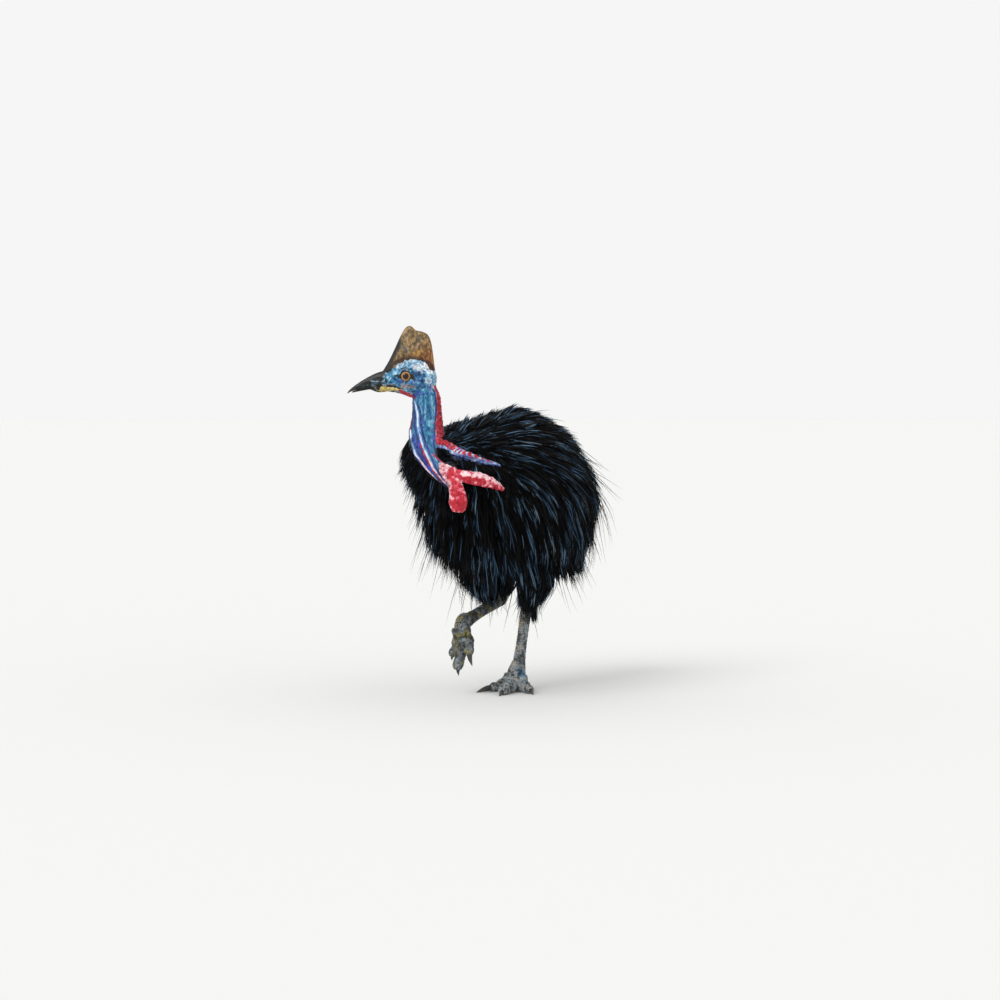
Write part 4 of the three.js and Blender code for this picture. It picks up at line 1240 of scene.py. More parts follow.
def mixed(tree, share, first, second, blend="MIX"):
    """Two colours mixed by a share"""
    first, second = (linear(value) if isinstance(value, str) else value for value in (first, second))
    settings = {"data_type": "RGBA", "blend_type": blend}
    return add(tree, "ShaderNodeMix", settings, {0: share, 6: first, 7: second}).outputs[2]


def figured(tree, operation, first, second, clamp=False):
    links = {0: first, 1: second}
    return add(tree, "ShaderNodeMath", {"operation": operation, "use_clamp": clamp}, links).outputs[0]


def laid_on(tree, colour, name, layer, pattern, amount, sharp):
    """A colour with a layer laid on it where a mark lies, its edge broken up by a pattern"""
    swing = figured(tree, "MULTIPLY", figured(tree, "SUBTRACT", pattern, 0.5), amount * 2)
    moved = figured(tree, "SUBTRACT", figured(tree, "ADD", mark(tree, name), swing), 0.5)
    share = figured(tree, "ADD", figured(tree, "MULTIPLY", moved, sharp), 0.5, clamp=True)
    return mixed(tree, share, colour, layer)


def ramp(tree, value, *stops):
    return add(tree, "ShaderNodeValToRGB", links={"Fac": value}, stops=stops).outputs["Color"]


def bumped(tree, shader, height, distance, strength, under=None):
    links = {"Height": height, "Distance": distance / 1000, "Strength": strength}
    if under is not None:
        links["Normal"] = under
    normal = add(tree, "ShaderNodeBump", links=links).outputs["Normal"]
    tree.links.new(normal, shader.inputs["Normal"])
    return normal


DULL_YELLOW = ((0.34, "#8E7838"), (0.5, "#C6B262"), (0.64, "#DCCB8A"))


def skin_material():
    """Bare skin, thin and finely creased: it gives the eye streaked deep blues and reds under a waxy light"""
    material, tree, shader = finish_of("bare skin, creased", Roughness=0.5, Specular_IOR_Level=0.35)
    specks = noise(tree, 6, 5, 0.65)
    grain = noise(tree, 11, 5, 0.68)
    streaks = noise(tree, 9, 6, 0.68, over="flow")
    dabs = noise(tree, 7, 5, 0.7, over="flow")
    colour = ramp(
        tree, streaks, (0.3, "#0A1E40"), (0.4, "#144876"), (0.48, "#2F7CA4"), (0.55, "#60A4C2"),
        (0.64, "#ABD2E0"), (0.74, "#DCEAF0"),
    )
    light = ramp(tree, streaks, (0.3, "#3F83B0"), (0.43, "#86B7D2"), (0.52, "#C3DCE8"), (0.62, "#ECF2F4"))
    colour = laid_on(tree, colour, "pale", light, streaks, 0.75, 2.2)
    points = noise(tree, 3.6, 3, 0.6, over="flow")
    points = ramp(tree, points, (0.4, "#000000"), (0.44, "#000000"), (0.6, "#FFFFFF"))
    colour = mixed(tree, figured(tree, "MULTIPLY", points, 0.6), colour, "#0D2450")
    warm = ramp(
        tree, grain, (0.32, "#7C0816"), (0.42, "#AE1024"), (0.5, "#C22438"), (0.56, "#D66878"),
        (0.63, "#F0C8CC"),
    )
    blanched = ramp(tree, grain, (0.34, "#A81C30"), (0.43, "#D27E8C"), (0.52, "#EAC8CC"), (0.64, "#F3E2E2"))
    warm = laid_on(tree, warm, "blanched", blanched, specks, 0.5, 2.4)
    layers = [
        ("stripe", dabs, 0.4, 2.5, (0.32, "#0F1C5C"), (0.41, "#3B5CAE"), (0.48, "#93A9DC"), (0.57, "#DCDDF0")),
        # navy also carries the painted shadow lines beside the neck's folds
        ("navy", streaks, 0.75, 2.4, (0.36, "#060A1E"), (0.5, "#0E1C52"), (0.64, "#27498C")),
        ("royal", dabs, 1.3, 1.8, (0.36, "#0A0E4A"), (0.5, "#172484"), (0.64, "#3A5CB8")),
        ("grey", specks, 0.6, 2.2, (0.34, "#3A3A40"), (0.5, "#76767C"), (0.64, "#A3A0A2")),
        ("black", specks, 0.65, 2.6, (0.4, "#08090D"), (0.64, "#1B222E")),
        ("yellow", specks, 0.35, 3.0, *DULL_YELLOW),
        ("fold", dabs, 0.7, 2.6, (0.34, "#3E5CA8"), (0.46, "#93A9D6"), (0.58, "#D6DEEE")),
        ("red", specks, 0.5, 2.6, (0.3, "#5A0812"), (0.46, "#9A1222"), (0.58, "#BC2A3C"), (0.72, "#DB7A8A")),
        ("pink", specks, 0.6, 2.4, (0.36, "#A01E34"), (0.46, "#D0808E"), (0.58, "#EBCBCD")),
    ]
    for name, pattern, amount, sharp, *stops in layers:
        colour = laid_on(tree, colour, name, ramp(tree, pattern, *stops), pattern, amount, sharp)
    colour = laid_on(tree, colour, "wattle", warm, specks, 0.3, 3.0)
    leg = ramp(
        tree, noise(tree, 9, 6, 0.65, over="flow"), (0.32, "#1E2022"), (0.42, "#4A4C4C"), (0.52, "#6E6F6C"),
        (0.64, "#857D70"), (0.76, "#A6977E"),
    )
    colour = mixed(tree, mark(tree, "leg"), colour, mixed(tree, mark(tree, "teal"), leg, "#2C6478"))
    colour = laid_on(tree, colour, "feathered", "#07080A", noise(tree, 26, 5, 0.6), 0.2, 3.0)
    tree.links.new(colour, shader.inputs["Base Color"])
    place = add(tree, "ShaderNodeTexCoord").outputs["Object"]
    cells = add(tree, "ShaderNodeTexVoronoi", links={"Vector": place, "Scale": 260.0}).outputs["Distance"]
    under = bumped(tree, shader, cells, 0.9, 0.5)
    bumped(tree, shader, noise(tree, 2.4, 6, 0.65, over="flow"), 1.0, 0.7, under)
    return material


def plumage_material():
    """Loose hairlike feather keratin, black with melanin: it gives deep black, with painted blue-grey
    highlights on the strands of high tone
    """
    material, tree, shader = finish_of("feather keratin, loose barbs", Roughness=0.6, Specular_IOR_Level=0.1)
    # Tone above about 0.6 is painted highlight: blue-grey to pale steel colour standing in for light on glossy
    # black strands
    colour = ramp(
        tree, mark(tree, "tone"), (0.0, "#020203"), (0.5, "#040507"), (0.62, "#0E1722"), (0.7, "#2E4A64"),
        (0.85, "#5C80A0"), (1.0, "#98B4CA"),
    )
    dark_root = figured(tree, "MULTIPLY", figured(tree, "SUBTRACT", 1.0, mark(tree, "along")), 0.8)
    tree.links.new(mixed(tree, dark_root, colour, "#050607"), shader.inputs["Base Color"])
    return material


def casque_material():
    """Horn of the casque, grown in layers and chipped: it looks mottled brown, ochre and olive, with painted
    shade where it sits on the crown
    """
    material, tree, shader = finish_of("keratin, layered and worn", Roughness=0.5, Specular_IOR_Level=0.4)
    flecks = noise(tree, 6, 6, 0.72, (1, 1, 0.6))
    streaks = noise(tree, 13, 5, 0.68, (1, 1, 0.6))
    broad, fine, rust = (ramp(tree, pattern, *stops) for pattern, *stops in (
        (streaks, (0.34, "#221B13"), (0.43, "#51452B"), (0.5, "#7A6438"), (0.56, "#6A6450"), (0.63, "#968F84")),
        (flecks, (0.38, "#0B0806"), (0.45, "#3E301D"), (0.5, "#745A34"), (0.56, "#A4793F"), (0.64, "#B6A88E")),
        (flecks, (0.36, "#1A0D08"), (0.44, "#5C3016"), (0.52, "#8C5424"), (0.6, "#AE7430"), (0.7, "#C89E5C")),
    ))
    colour = mixed(tree, 0.65, broad, fine)
    for name, layer, pattern, amount, sharp in (
        ("rust", rust, streaks, 0.9, 1.3), ("gold", "#B98A34", flecks, 0.6, 2.4),
        # The foot layer is painted shade: dark brown along the casque's seat on the crown
        ("teal", "#2B5A70", flecks, 0.7, 2.4), ("foot", "#34180F", flecks, 1.2, 2.0),
        ("edge", "#191611", flecks, 0.6, 2.4),
    ):
        colour = laid_on(tree, colour, name, layer, pattern, amount, sharp)
    tree.links.new(colour, shader.inputs["Base Color"])
    bumped(tree, shader, flecks, 0.9, 0.6, bumped(tree, shader, streaks, 2.0, 0.6))
    return material


def bill_material():
    """Horn of the bill, smooth from wear, black with a painted grey-blue sheen; brown at the tip, yellow under
    the jaw
    """
    material, tree, shader = finish_of("keratin, worn smooth", Roughness=0.34, Specular_IOR_Level=0.3)
    grain = noise(tree, 5, 5, 0.6, (0.4, 0.4, 1))
    colour = ramp(tree, grain, (0.4, "#08090A"), (0.52, "#101415"), (0.64, "#2C393C"))
    colour = mixed(tree, mark(tree, "tip"), colour, "#4A3826")
    # gleam is a painted sheen: a grey-blue highlight laid into the black where its mark lies
    gleam = ramp(tree, grain, (0.4, "#1E3038"), (0.5, "#4F7086"), (0.6, "#8CA6B4"))
    colour = laid_on(tree, colour, "sheen", gleam, grain, 1.0, 2.4)
    yellow = ramp(tree, noise(tree, 6, 5, 0.65), *DULL_YELLOW)
    colour = laid_on(tree, colour, "yellow", yellow, grain, 1.0, 2.4)
    tree.links.new(colour, shader.inputs["Base Color"])
    bumped(tree, shader, grain, 0.7, 0.6)
    return material


def claw_material():
    """Horn of the claws, scuffed by the ground: near black, paler and duller toward the point"""
    material, tree, shader = finish_of("keratin, scuffed", Roughness=0.36, Specular_IOR_Level=0.5)
    grain = noise(tree, 4, 5, 0.6)
    colour = ramp(tree, grain, (0.3, "#17181A"), (0.55, "#2C2B29"), (0.75, "#5A544A"))
    tree.links.new(mixed(tree, mark(tree, "tip"), colour, "#4C463C"), shader.inputs["Base Color"])
    bumped(tree, shader, grain, 0.5, 0.5)
    return material


def scale_material():
    """Scales of the legs, dry horn plates: grey and tan with black flecks and a dull gleam"""
    material, tree, shader = finish_of("scutes, dry horn", Roughness=0.55, Specular_IOR_Level=0.35)
    fleck = noise(tree, 10, 5, 0.62)
    colour = ramp(
        tree, mark(tree, "tone"), (0.0, "#1C2024"), (0.2, "#50585E"), (0.4, "#848D92"), (0.6, "#9DA5A8"),
        (0.8, "#B4A692"), (1.0, "#CAB89E"),
    )
    colour = laid_on(tree, colour, "olive", "#857A38", fleck, 0.6, 2.0)
    colour = laid_on(tree, colour, "teal", "#2A6890", fleck, 0.6, 1.6)
    dark = ramp(tree, noise(tree, 15, 6, 0.72), (0.445, "#0E1114"), (0.52, "#FFFFFF"))
    tree.links.new(mixed(tree, 0.85, colour, dark, "MULTIPLY"), shader.inputs["Base Color"])
    bumped(tree, shader, noise(tree, 2.5, 5, 0.6), 0.5, 0.6)
    return material


def eye_material():
    """A wet eye: it shows a black pupil and an amber iris, spoked and dark at its rim, under a clear coat"""
    gloss = {"Roughness": 0.2, "Specular_IOR_Level": 0.2, "Coat_Weight": 0.5, "Coat_Roughness": 0.02}
    material, tree, shader = finish_of("cornea and iris, wet", **gloss)
    colour = ramp(
        tree, mark(tree, "out"), (0.0, "#030303"), (0.485, "#040404"), (0.52, "#4A280E"), (0.58, "#B47434"),
        (0.74, "#D8A25C"), (0.86, "#B47236"), (0.93, "#34190B"), (1.0, "#0A0708"),
    )
    spokes = ramp(tree, noise(tree, 2.4, 4, 0.7), (0.35, "#8A5A2A"), (0.6, "#FFFFFF"))
    tree.links.new(mixed(tree, 0.5, colour, spokes, "MULTIPLY"), shader.inputs["Base Color"])
    return material


def floor_material():
    """Board with a matt coat of pale paint: it gives an even light grey without gleam"""
    grey = linear("#E2E2E0")
    return finish_of("painted board, matt", Roughness=0.95, Specular_IOR_Level=0.1, Base_Color=grey)[0]


# Pieces


def hand_in(name, shape, corners, marks, material, slot, *nodes):
    """A piece that rides with the bird, takes its finish from its material and stands for its nodes, which it
    hides; the slot is not used
    """
    piece = build(name, *shape, corners, marks, material)
    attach(piece, "root")
    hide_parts(*nodes)


def make_skin(outline):
    bands = [stripe_rings(side) for side in (1, -1)]
    legs = {name: leg_skin(name) for name in LEGS}
    shape = united("skin", [trunk_skin(outline), head_and_neck(), *bands, *legs.values()])
    flesh = ["head", "neck_upper", "neck_lower", "wattle_right", "wattle_left", "trunk", "tail"]
    for name in LEGS:
        flesh += [f"shoulder_skin_{name}", f"wing_{name}", f"thigh_{name}", f"shank_{name}", f"tarsus_{name}"]
        flesh += [f"foot_{name}"] + [f"toe_{toe}_{name}" for toe in TOES]
    hand_in("skin", shape, skin_map(*shape), skin_marks(shape[0]), skin_material(), "blue_skin", *flesh)
    return legs


def make_casque():
    """The casque: a tall blade of horn, wavy on its sides, on the crown"""
    sides, count = CUTS["casque"]
    rows = eased(CASQUE_OUTLINE, count)
    middle = (rows[:, 1] + CASQUE_FOOT) / 2
    tall = np.maximum((rows[:, 1] - CASQUE_FOOT) / 2, CASQUE_TAPER["least"])
    rings = []
    for (ahead, _, half), centre, height in zip(rows, middle, tall):
        strength = CASQUE_TAPER["strength"] * min(1, height / CASQUE_TAPER["from"])
        rings.append(ovals(
            head_point(ahead, 0, centre)[None], TOWARD, UP, half, height, sides, CASQUE_TAPER["fullness"],
            lambda s, strength=strength: 1 - strength * np.maximum(0, s),
        )[0])
    rings = np.array(rings)
    flat = rings.reshape(-1, 3)
    side = head_place(flat)[1]
    lift = 1.3 * ripple(flat * [1, 1, 0.4], 9, 51) + 0.9 * ripple(flat, 4.5, 52)
    rings = (flat + (np.sign(side) * lift * step(2, 12, np.abs(side)))[:, None] * TOWARD).reshape(rings.shape)
    shape = loft(rings, head_point(103, 0, 2), head_point(-112, 0, middle[-1]))
    ahead, _, up = head_place(shape[0])
    ridge = CASQUE_OUTLINE[:6]
    behind_ridge = np.interp(up, [row[1] for row in ridge], [row[0] for row in ridge]) - ahead
    foot = side_distance(ahead, up, CASQUE_SEAT) + 3 * ripple(shape[0], 12, 53)
    rust = 0.75 * step(-36, -100, ahead) * step(190, 60, up) + 0.45 * step(130, 60, up) * step(20, -60, ahead)
    edge = step(28, 4, behind_ridge) * step(176, 110, up) + 0.7 * step(62, 30, up) * step(30, 66, ahead)
    marks = {
        # Painted shade: dark along the seat where the casque meets the crown
        "foot": 0.7 * step(15, 5, foot),
        "rust": np.clip(rust, 0, 0.85),
        "gold": 0.7 * blob(ahead, up, (-50, 90), (34, 9)) + 0.6 * blob(ahead, up, (-104, 60), (6, 22)),
        "teal": 0.62 * blob(0.6 * ahead + 0.8 * up, 0.6 * up - 0.8 * ahead, (88, 59), (30, 7)),
        "edge": np.clip(edge, 0, 1),
    }
    hand_in("casque_horn", shape, loft_map(rings, shape[1]), marks, casque_material(), "casque_horn", "casque")


def bill_rings(half, table, edge, back, fullness):
    """Rings of one half of the bill: edge and back are the table's columns for its flat and its domed side"""
    sides, count = CUTS[half]
    rows = eased(table, count)
    turn = np.arange(sides) / (sides - 1) * math.pi
    low, high = rows[:, edge, None], rows[:, back, None]
    tall = low + np.sin(turn) ** fullness * (high - low)
    return head_point(np.broadcast_to(rows[:, :1], tall.shape), rows[:, 3:] * np.cos(turn), tall)


def make_bill():
    """The two halves of the bill, the upper one dented by its nostrils"""
    material = bill_material()
    rings = bill_rings("bill_upper", UPPER_BILL, 2, 1, BILL_RIDGE)
    flat = rings.reshape(-1, 3)
    ahead, side, up = head_place(flat)
    beyond = ahead - NOSTRIL["ahead"]
    above = up - NOSTRIL["up"] + NOSTRIL["tilt"] * beyond
    hole = (beyond / NOSTRIL["long"]) ** 2 + (above / NOSTRIL["tall"]) ** 2
    dent = NOSTRIL["deep"] * np.exp(-hole) * (np.abs(side) > 4)
    rings = (flat - (np.sign(side) * dent)[:, None] * TOWARD).reshape(rings.shape)
    shape = loft(rings, head_point(74, 0, -8), head_point(226, 0, -65.5))
    ahead, _, up = head_place(shape[0])
    # Painted sheen: a grey-blue highlight along the middle of the upper bill and on its base
    sheen = 0.62 * blob(ahead, up, (114, -26), (30, 8)) + 0.6 * step(98, 78, ahead) * step(16, -6, up)
    marks = {"tip": step(196, 222, ahead), "sheen": np.clip(sheen, 0, 1)}
    hand_in("bill_upper_horn", shape, loft_map(rings, shape[1]), marks, material, "bill_horn", "bill_upper")
    rings = bill_rings("bill_lower", LOWER_BILL, 1, 2, 1)
    shape = loft(rings, head_point(74, 0, -48), head_point(208, 0, -61.5))
    ahead, _, up = head_place(shape[0])
    rough = ripple(shape[0], 11, 45) + 0.5 * ripple(shape[0], 5, 46)
    yellow = step(114, 96, ahead + 9 * rough) * step(-60, -55, up + 3 * rough)
    marks = {"tip": step(190, 208, ahead), "yellow": yellow}
    hand_in("bill_lower_horn", shape, loft_map(rings, shape[1]), marks, material, "bill_horn", "bill_lower")


def make_eyes():
    """Two flattened eyeballs, each with the bulge of its cornea"""
    material = eye_material()
    sides, count = CUTS["eye"]
    angle = np.linspace(0.03, math.pi - 0.03, count + 1)
    cornea = 1.4 * np.exp(-((angle / 0.62) ** 4))
    out = EYE["radius"] * EYE["flatten"] * np.cos(angle) + cornea
    around = EYE["radius"] * np.sin(angle)
    share = np.where(angle < math.pi / 2, around, EYE["radius"]) / EYE["radius"]
    marks = {"out": np.append(np.repeat(share, sides), (0, 1))}
    for name, sign in (("left", 1), ("right", -1)):
        rings = ovals(head_point(0, sign * (EYE["side"] + out), 0), ACROSS, UP, around, around, sides)
        shape = loft(rings)
        hand_in(f"eyeball_{name}", shape, loft_map(rings, shape[1]), marks, material, "eye", f"eye_{name}")


def make_claws():
    material = claw_material()
    for foot in (LEFT, RIGHT):
        for toe, kind in TOES.items():
            rings = foot.claw_rings(kind)
            before, last = rings[-2:].mean(1)
            points, faces = loft(rings, last_tip=last + CLAW_ARCH["point"] * unit(last - before))
            shape = (grounded(points) if foot is LEFT else points, faces)
            tip = np.append(np.repeat(np.linspace(0, 1, len(rings)) ** 2, rings.shape[1]), (0, 1))
            name, node = f"claw_horn_{toe}_{foot.name}", f"claw_{toe}_{foot.name}"
            hand_in(name, shape, loft_map(rings, faces), {"tip": tip}, material, "claw_horn", node)


# Scales: small domed plates laid on the skin of the legs

PLATE_RINGS = [(1.08, -0.7), (0.98, 0.7), (0.6, 1.2)]
SMALL_PLATE = {"apart": 6.4, "half": 4.5}
# Rows of plates: their pitch, how many go round, and the turn and half breadth of the broad one in front
PLATE_ROWS = {
    "tarsus": (10, 12, -math.pi / 2, 0.62), "shank": (9, 13, -math.pi / 2, 0.4),
    "toe": (9, 11, math.pi / 2, 0.75),
}
# How pale and how olive the scales of each leg are
SCALE_TONES = {"left": (0.52, -0.3), "right": (0.18, 0.22)}
# How far from its row a plate may find the skin
PLATE_REACH = 9
# Side of one scale's or one strand's patch on the flat map
PATCH_SIZE = 0.003


def plates(centres, along, half_long, half_wide, sides, tree):
    """Domed plates bent over the skin: points, faces and each point's plate"""
    count = len(centres)
    up = facing(centres, tree)[1]
    ahead = unit(along - up * np.einsum("ij,ij->i", along, up)[:, None])
    across = np.cross(up, ahead)
    turn = (np.arange(sides) + 0.5) / sides * math.tau
    way_long, way_wide = half_long[:, None] * np.cos(turn), half_wide[:, None] * np.sin(turn)
    rings = []
    for size, height in PLATE_RINGS:
        ring = centres[:, None] + ahead[:, None] * (way_long * size)[..., None]
        ring = ring + across[:, None] * (way_wide * size)[..., None]
        place, normal = facing(ring.reshape(-1, 3), tree)
        tall = np.repeat(height * (0.6 + 0.09 * np.minimum(half_long, half_wide)), sides)
        rings.append((place + normal * tall[:, None]).reshape(count, sides, 3))
    points = np.stack(rings, 1).reshape(-1, 3)
    start = (np.arange(count) * sides * len(rings))[:, None]
    side = np.arange(sides)
    quads = [strips(start + lower * sides, sides) for lower in range(len(rings) - 1)]
    caps = np.concatenate([start + (len(rings) - 1) * sides + side, start + side[::-1]])
    points, faces = outward(points, [np.concatenate(quads), caps])
    return points, faces, np.repeat(np.arange(count), sides * len(rings))


def facing(points, tree):
    """The nearest place on a surface and the way it faces there"""
    found = [tree.find_nearest(Vector(point))[:2] for point in points]
    return np.array([place for place, _ in found]), np.array([normal for _, normal in found])


def patch_map(faces, owner, roots, place_u, place_v):
    """Each small piece's own patch of the flat map, at its root's place"""
    corners = []
    for group in faces:
        inside = np.stack([place_u[group], place_v[group]], -1) - 0.5
        corners.append((roots[owner[group]] + PATCH_SIZE * inside).reshape(-1, 2))
    return np.vstack(corners)


def plate_rows(run, half, sideways, pitch, turns, front_turn, front_half):
    """Rows of plates round a limb, one broad in front: place, way along, half length, half width, broad"""
    length = np.linalg.norm(np.diff(run, axis=0), axis=1).sum()
    rows = max(2, int(length / pitch))
    place = (np.arange(rows) + 0.5) / rows
    middle = np.stack([along_run(place, run[:, k]) for k in range(3)], 1)
    radius = along_run(place, half)
    way = unit(np.gradient(middle, axis=0))
    first = squared(sideways, way)
    second = np.cross(way, first)
    found = []
    for row in range(rows):
        stagger = (row % 2 - 0.5) * 0.5 / turns
        turn = front_turn + front_half + (np.arange(1, turns) / turns + stagger) * (math.tau - 2 * front_half)
        for angle, broad in [(front_turn, True), *((value, False) for value in turn)]:
            direction = math.cos(angle) * first[row] + math.sin(angle) * second[row]
            long, wide = pitch * 0.54, math.pi * radius[row] / turns * 1.02
            if broad:
                long, wide = pitch * 0.52, radius[row] * front_half * 0.86
            found.append((middle[row] + direction * radius[row] * 1.1, way[row], long, wide, broad))
    return found


def spread_out(candidates, taken, apart):
    """Candidates that lie at least so far apart from each other and from the places already taken"""
    cells, chosen = {}, []
    around = list(itertools.product((-1, 0, 1), repeat=3))
    for index, point in enumerate(np.vstack([taken, candidates])):
        x, y, z = (point // apart).astype(int)
        near = (other for i, j, k in around for other in cells.get((x + i, y + j, z + k), ()))
        if index >= len(taken):
            if any(math.dist(point, other) < apart for other in near):
                continue
            chosen.append(index - len(taken))
        cells.setdefault((x, y, z), []).append(point)
    return np.array(chosen, int)


def make_scales(name, leg, material):
    """One leg's plates: rows down the shank, the tarsus and the toes, and small ones where skin still shows"""
    foot, top, knee, joint, _ = LEGS[name]
    dice = np.random.default_rng(SEED + len(name))
    tree = tree_of(*leg)
    run, half = tarsus_run(top, joint)
    rows = plate_rows(run, half, RIGHTWARD, *PLATE_ROWS["tarsus"])
    shank = np.array(top) + np.outer((0.75, 0.22), knee)
    rows += plate_rows(shank, np.array([25.0, 30.0]), RIGHTWARD, *PLATE_ROWS["shank"])
    for kind in TOES.values():
        local, half = toe_run(kind, CUTS["toe"][1])
        sideways = foot.place(np.eye(3), foot.toe_turn(kind))[0] - foot.origin
        rows += plate_rows(foot.place(local, foot.toe_turn(kind)), half, sideways, *PLATE_ROWS["toe"])
    centres, along, long, wide, broad = (np.array(column) for column in zip(*rows))
    on_skin = facing(centres, tree)[0]
    kept = (np.linalg.norm(on_skin - centres, axis=1) < PLATE_REACH) & (centres[:, 2] > HEEL)
    centres, along, long, wide, broad = (column[kept] for column in (on_skin, along, long, wide, broad))
    shoulders = np.cross(along, facing(centres, tree)[1]) * wide[:, None] * 0.7
    taken = np.vstack([centres, centres[broad] + shoulders[broad], centres[broad] - shoulders[broad]])
    points = leg[0]
    shown = points[(points[:, 2] > HEEL) & (points[:, 2] < LEG_COVERED)]
    shown = shown[dice.permutation(len(shown))]
    fill = shown[spread_out(shown, taken, SMALL_PLATE["apart"])]
    count = len(fill)
    centres, along = np.vstack([centres, fill]), np.vstack([along, np.tile(-UP, (count, 1))])
    small = [SMALL_PLATE["half"] * dice.uniform(0.8, 1.1, count) for _ in range(2)]
    long, wide = np.append(long, small[0]), np.append(wide, small[1])
    broad = np.append(broad, np.zeros(count, bool))
    shapes, owners = [], []
    for chosen, sides in ((~broad, 6), (broad, 14)):
        shape = plates(centres[chosen], along[chosen], long[chosen], wide[chosen], sides, tree)
        shapes.append(shape[:2])
        owners.append(np.flatnonzero(chosen)[shape[2]])
    whole, faces = joined(shapes)
    owner = np.concatenate(owners)
    if foot is LEFT:
        grounded(whole)
    ahead = unit(along)
    offset = whole - centres[owner]
    reach = np.maximum(long, wide)[owner] * 1.2
    sideways = unit(np.cross(ahead, facing(centres, tree)[1]))
    place_u = 0.5 + 0.45 * np.einsum("ij,ij->i", offset, sideways[owner]) / reach
    place_v = 0.5 + 0.45 * np.einsum("ij,ij->i", offset, ahead[owner]) / reach
    corners = patch_map(faces, owner, root_map(centres), place_u, place_v)
    pale, olive = SCALE_TONES[name]
    axis = np.interp(centres[:, 2], (joint[2], top[2]), (np.dot(joint, ACROSS), np.dot(top, ACROSS)))
    # Painted shade: on the standing leg, above the ankle, scales on the +ACROSS side of the tarsus are darker
    # and those on the other side paler
    side = np.clip((centres @ ACROSS - axis) / 26, -1, 1) * (foot is LEFT) * step(70, 110, centres[:, 2])
    tone = dice.normal(pale, 0.07, len(centres)) + 0.18 * ripple(centres, 30, 71) - 0.2 * side
    marks = {
        "tone": np.clip(tone, 0, 1)[owner],
        "olive": np.clip(0.5 * ripple(centres, 22, 72) + olive, 0, 1)[owner],
        "teal": skin_teal(centres)[owner],
    }
    nodes = [f"{part}_{name}" for part in ("tarsus", "shank", "foot")] + [f"toe_{toe}_{name}" for toe in TOES]
    hand_in(f"scales_{name}", (whole, faces), corners, marks, material, "leg_skin", *nodes)


# The coat


BACKWARD = Vector((-TRUNK_SLANT, 1.0, 0.0)).normalized()
DOWN = Vector((0, 0, -1))
SWEEP = [(380, 0.1), (500, 0.2), (620, 0.35), (760, 0.6), (900, 1.0), (1020, 1.7), (1100, 2.2)]
STEPS = 7
GUIDES = 3380
NECK_GUIDES = 500
STRAY_GUIDES = 560
# Share of guide feathers whose locks carry painted blue-grey highlights
PAINTED_HIGHLIGHT_SHARE = 0.3
# Lengths of feathers in millimetres, and the share of the length that they keep beside bare skin
FEATHER = {"body": 150, "thigh": 140, "hem_left": 112, "hem_right": 66, "by_skin": 0.42}
# The lowest plumage: below the trunk, and on the standing and the lifted leg, with its unevenness
HEM = {"trunk": 480, "left": 314, "right": 344, "uneven": 34}
# Height below which feathers hang free of the outline
FREE_BELOW = {"thigh": 372, "trunk": 500}
# Tone from which a feather carries a painted blue-grey highlight, and its lock drawn together
PAINTED_HIGHLIGHT_FROM = 0.6

# Kinds of feather: how many for each guide, sides, half width and half thickness, how far they spread, stand
# out, lift their tips and sway, and their length against the guide's
KIND = ("each", "sides", "wide", "thick", "spread", "rise", "lift", "sway", "length")
UNDER = dict(zip(KIND, (2, 4, 8.5, 1.6, 9, 2.5, 0, 0.02, (0.72, 1.05))))
OVER = dict(zip(KIND, (7, 3, 2.1, 1.3, 15, 6, 4, 0.035, (0.75, 1.12))))
STRAY = dict(zip(KIND, (1, 3, 2.1, 1.4, 10, 5, 30, 0.05, (1.1, 1.6))))
FRINGE = dict(zip(KIND, (7, 3, 2.0, 1.2, 9, 5, 6, 0.04, (0.7, 1.15))))


def on_left(points):
    return points[:, 0] - TRUNK_MIDDLE_X + TRUNK_SLANT * points[:, 1] > 0


def coat_length(points, share):
    """How long the feathers are, in millimetres"""
    y, z = points[:, 1], points[:, 2]
    body = FEATHER["body"] + 50 * step(-250, 150, y) + 25 * step(250, 420, y) - 50 * step(1000, 1110, z)
    body = body * between((FEATHER["by_skin"], 1), step(10, 150, bare_distance(points)))
    low = np.where(on_left(points), FEATHER["hem_left"], FEATHER["hem_right"])
    thigh = between((low, FEATHER["thigh"]), step(390, 560, z))
    return body * (1 - share) + thigh * share


def scattered(points, faces, count, weight, dice):
    """Points scattered over a surface"""
    quads = faces[-1]
    a, b, c, d = (points[quads[:, k]] for k in range(4))
    area = np.linalg.norm(np.cross(c - a, d - b), axis=1) / 2
    chance = area * weight((a + b + c + d) / 4)
    chosen = dice.choice(len(quads), count, p=chance / chance.sum())
    s, t = dice.random((2, count, 1))
    a, b, c, d = a[chosen], b[chosen], c[chosen], d[chosen]
    return (a * (1 - s) + b * s) * (1 - t) + (d * (1 - s) + c * s) * t


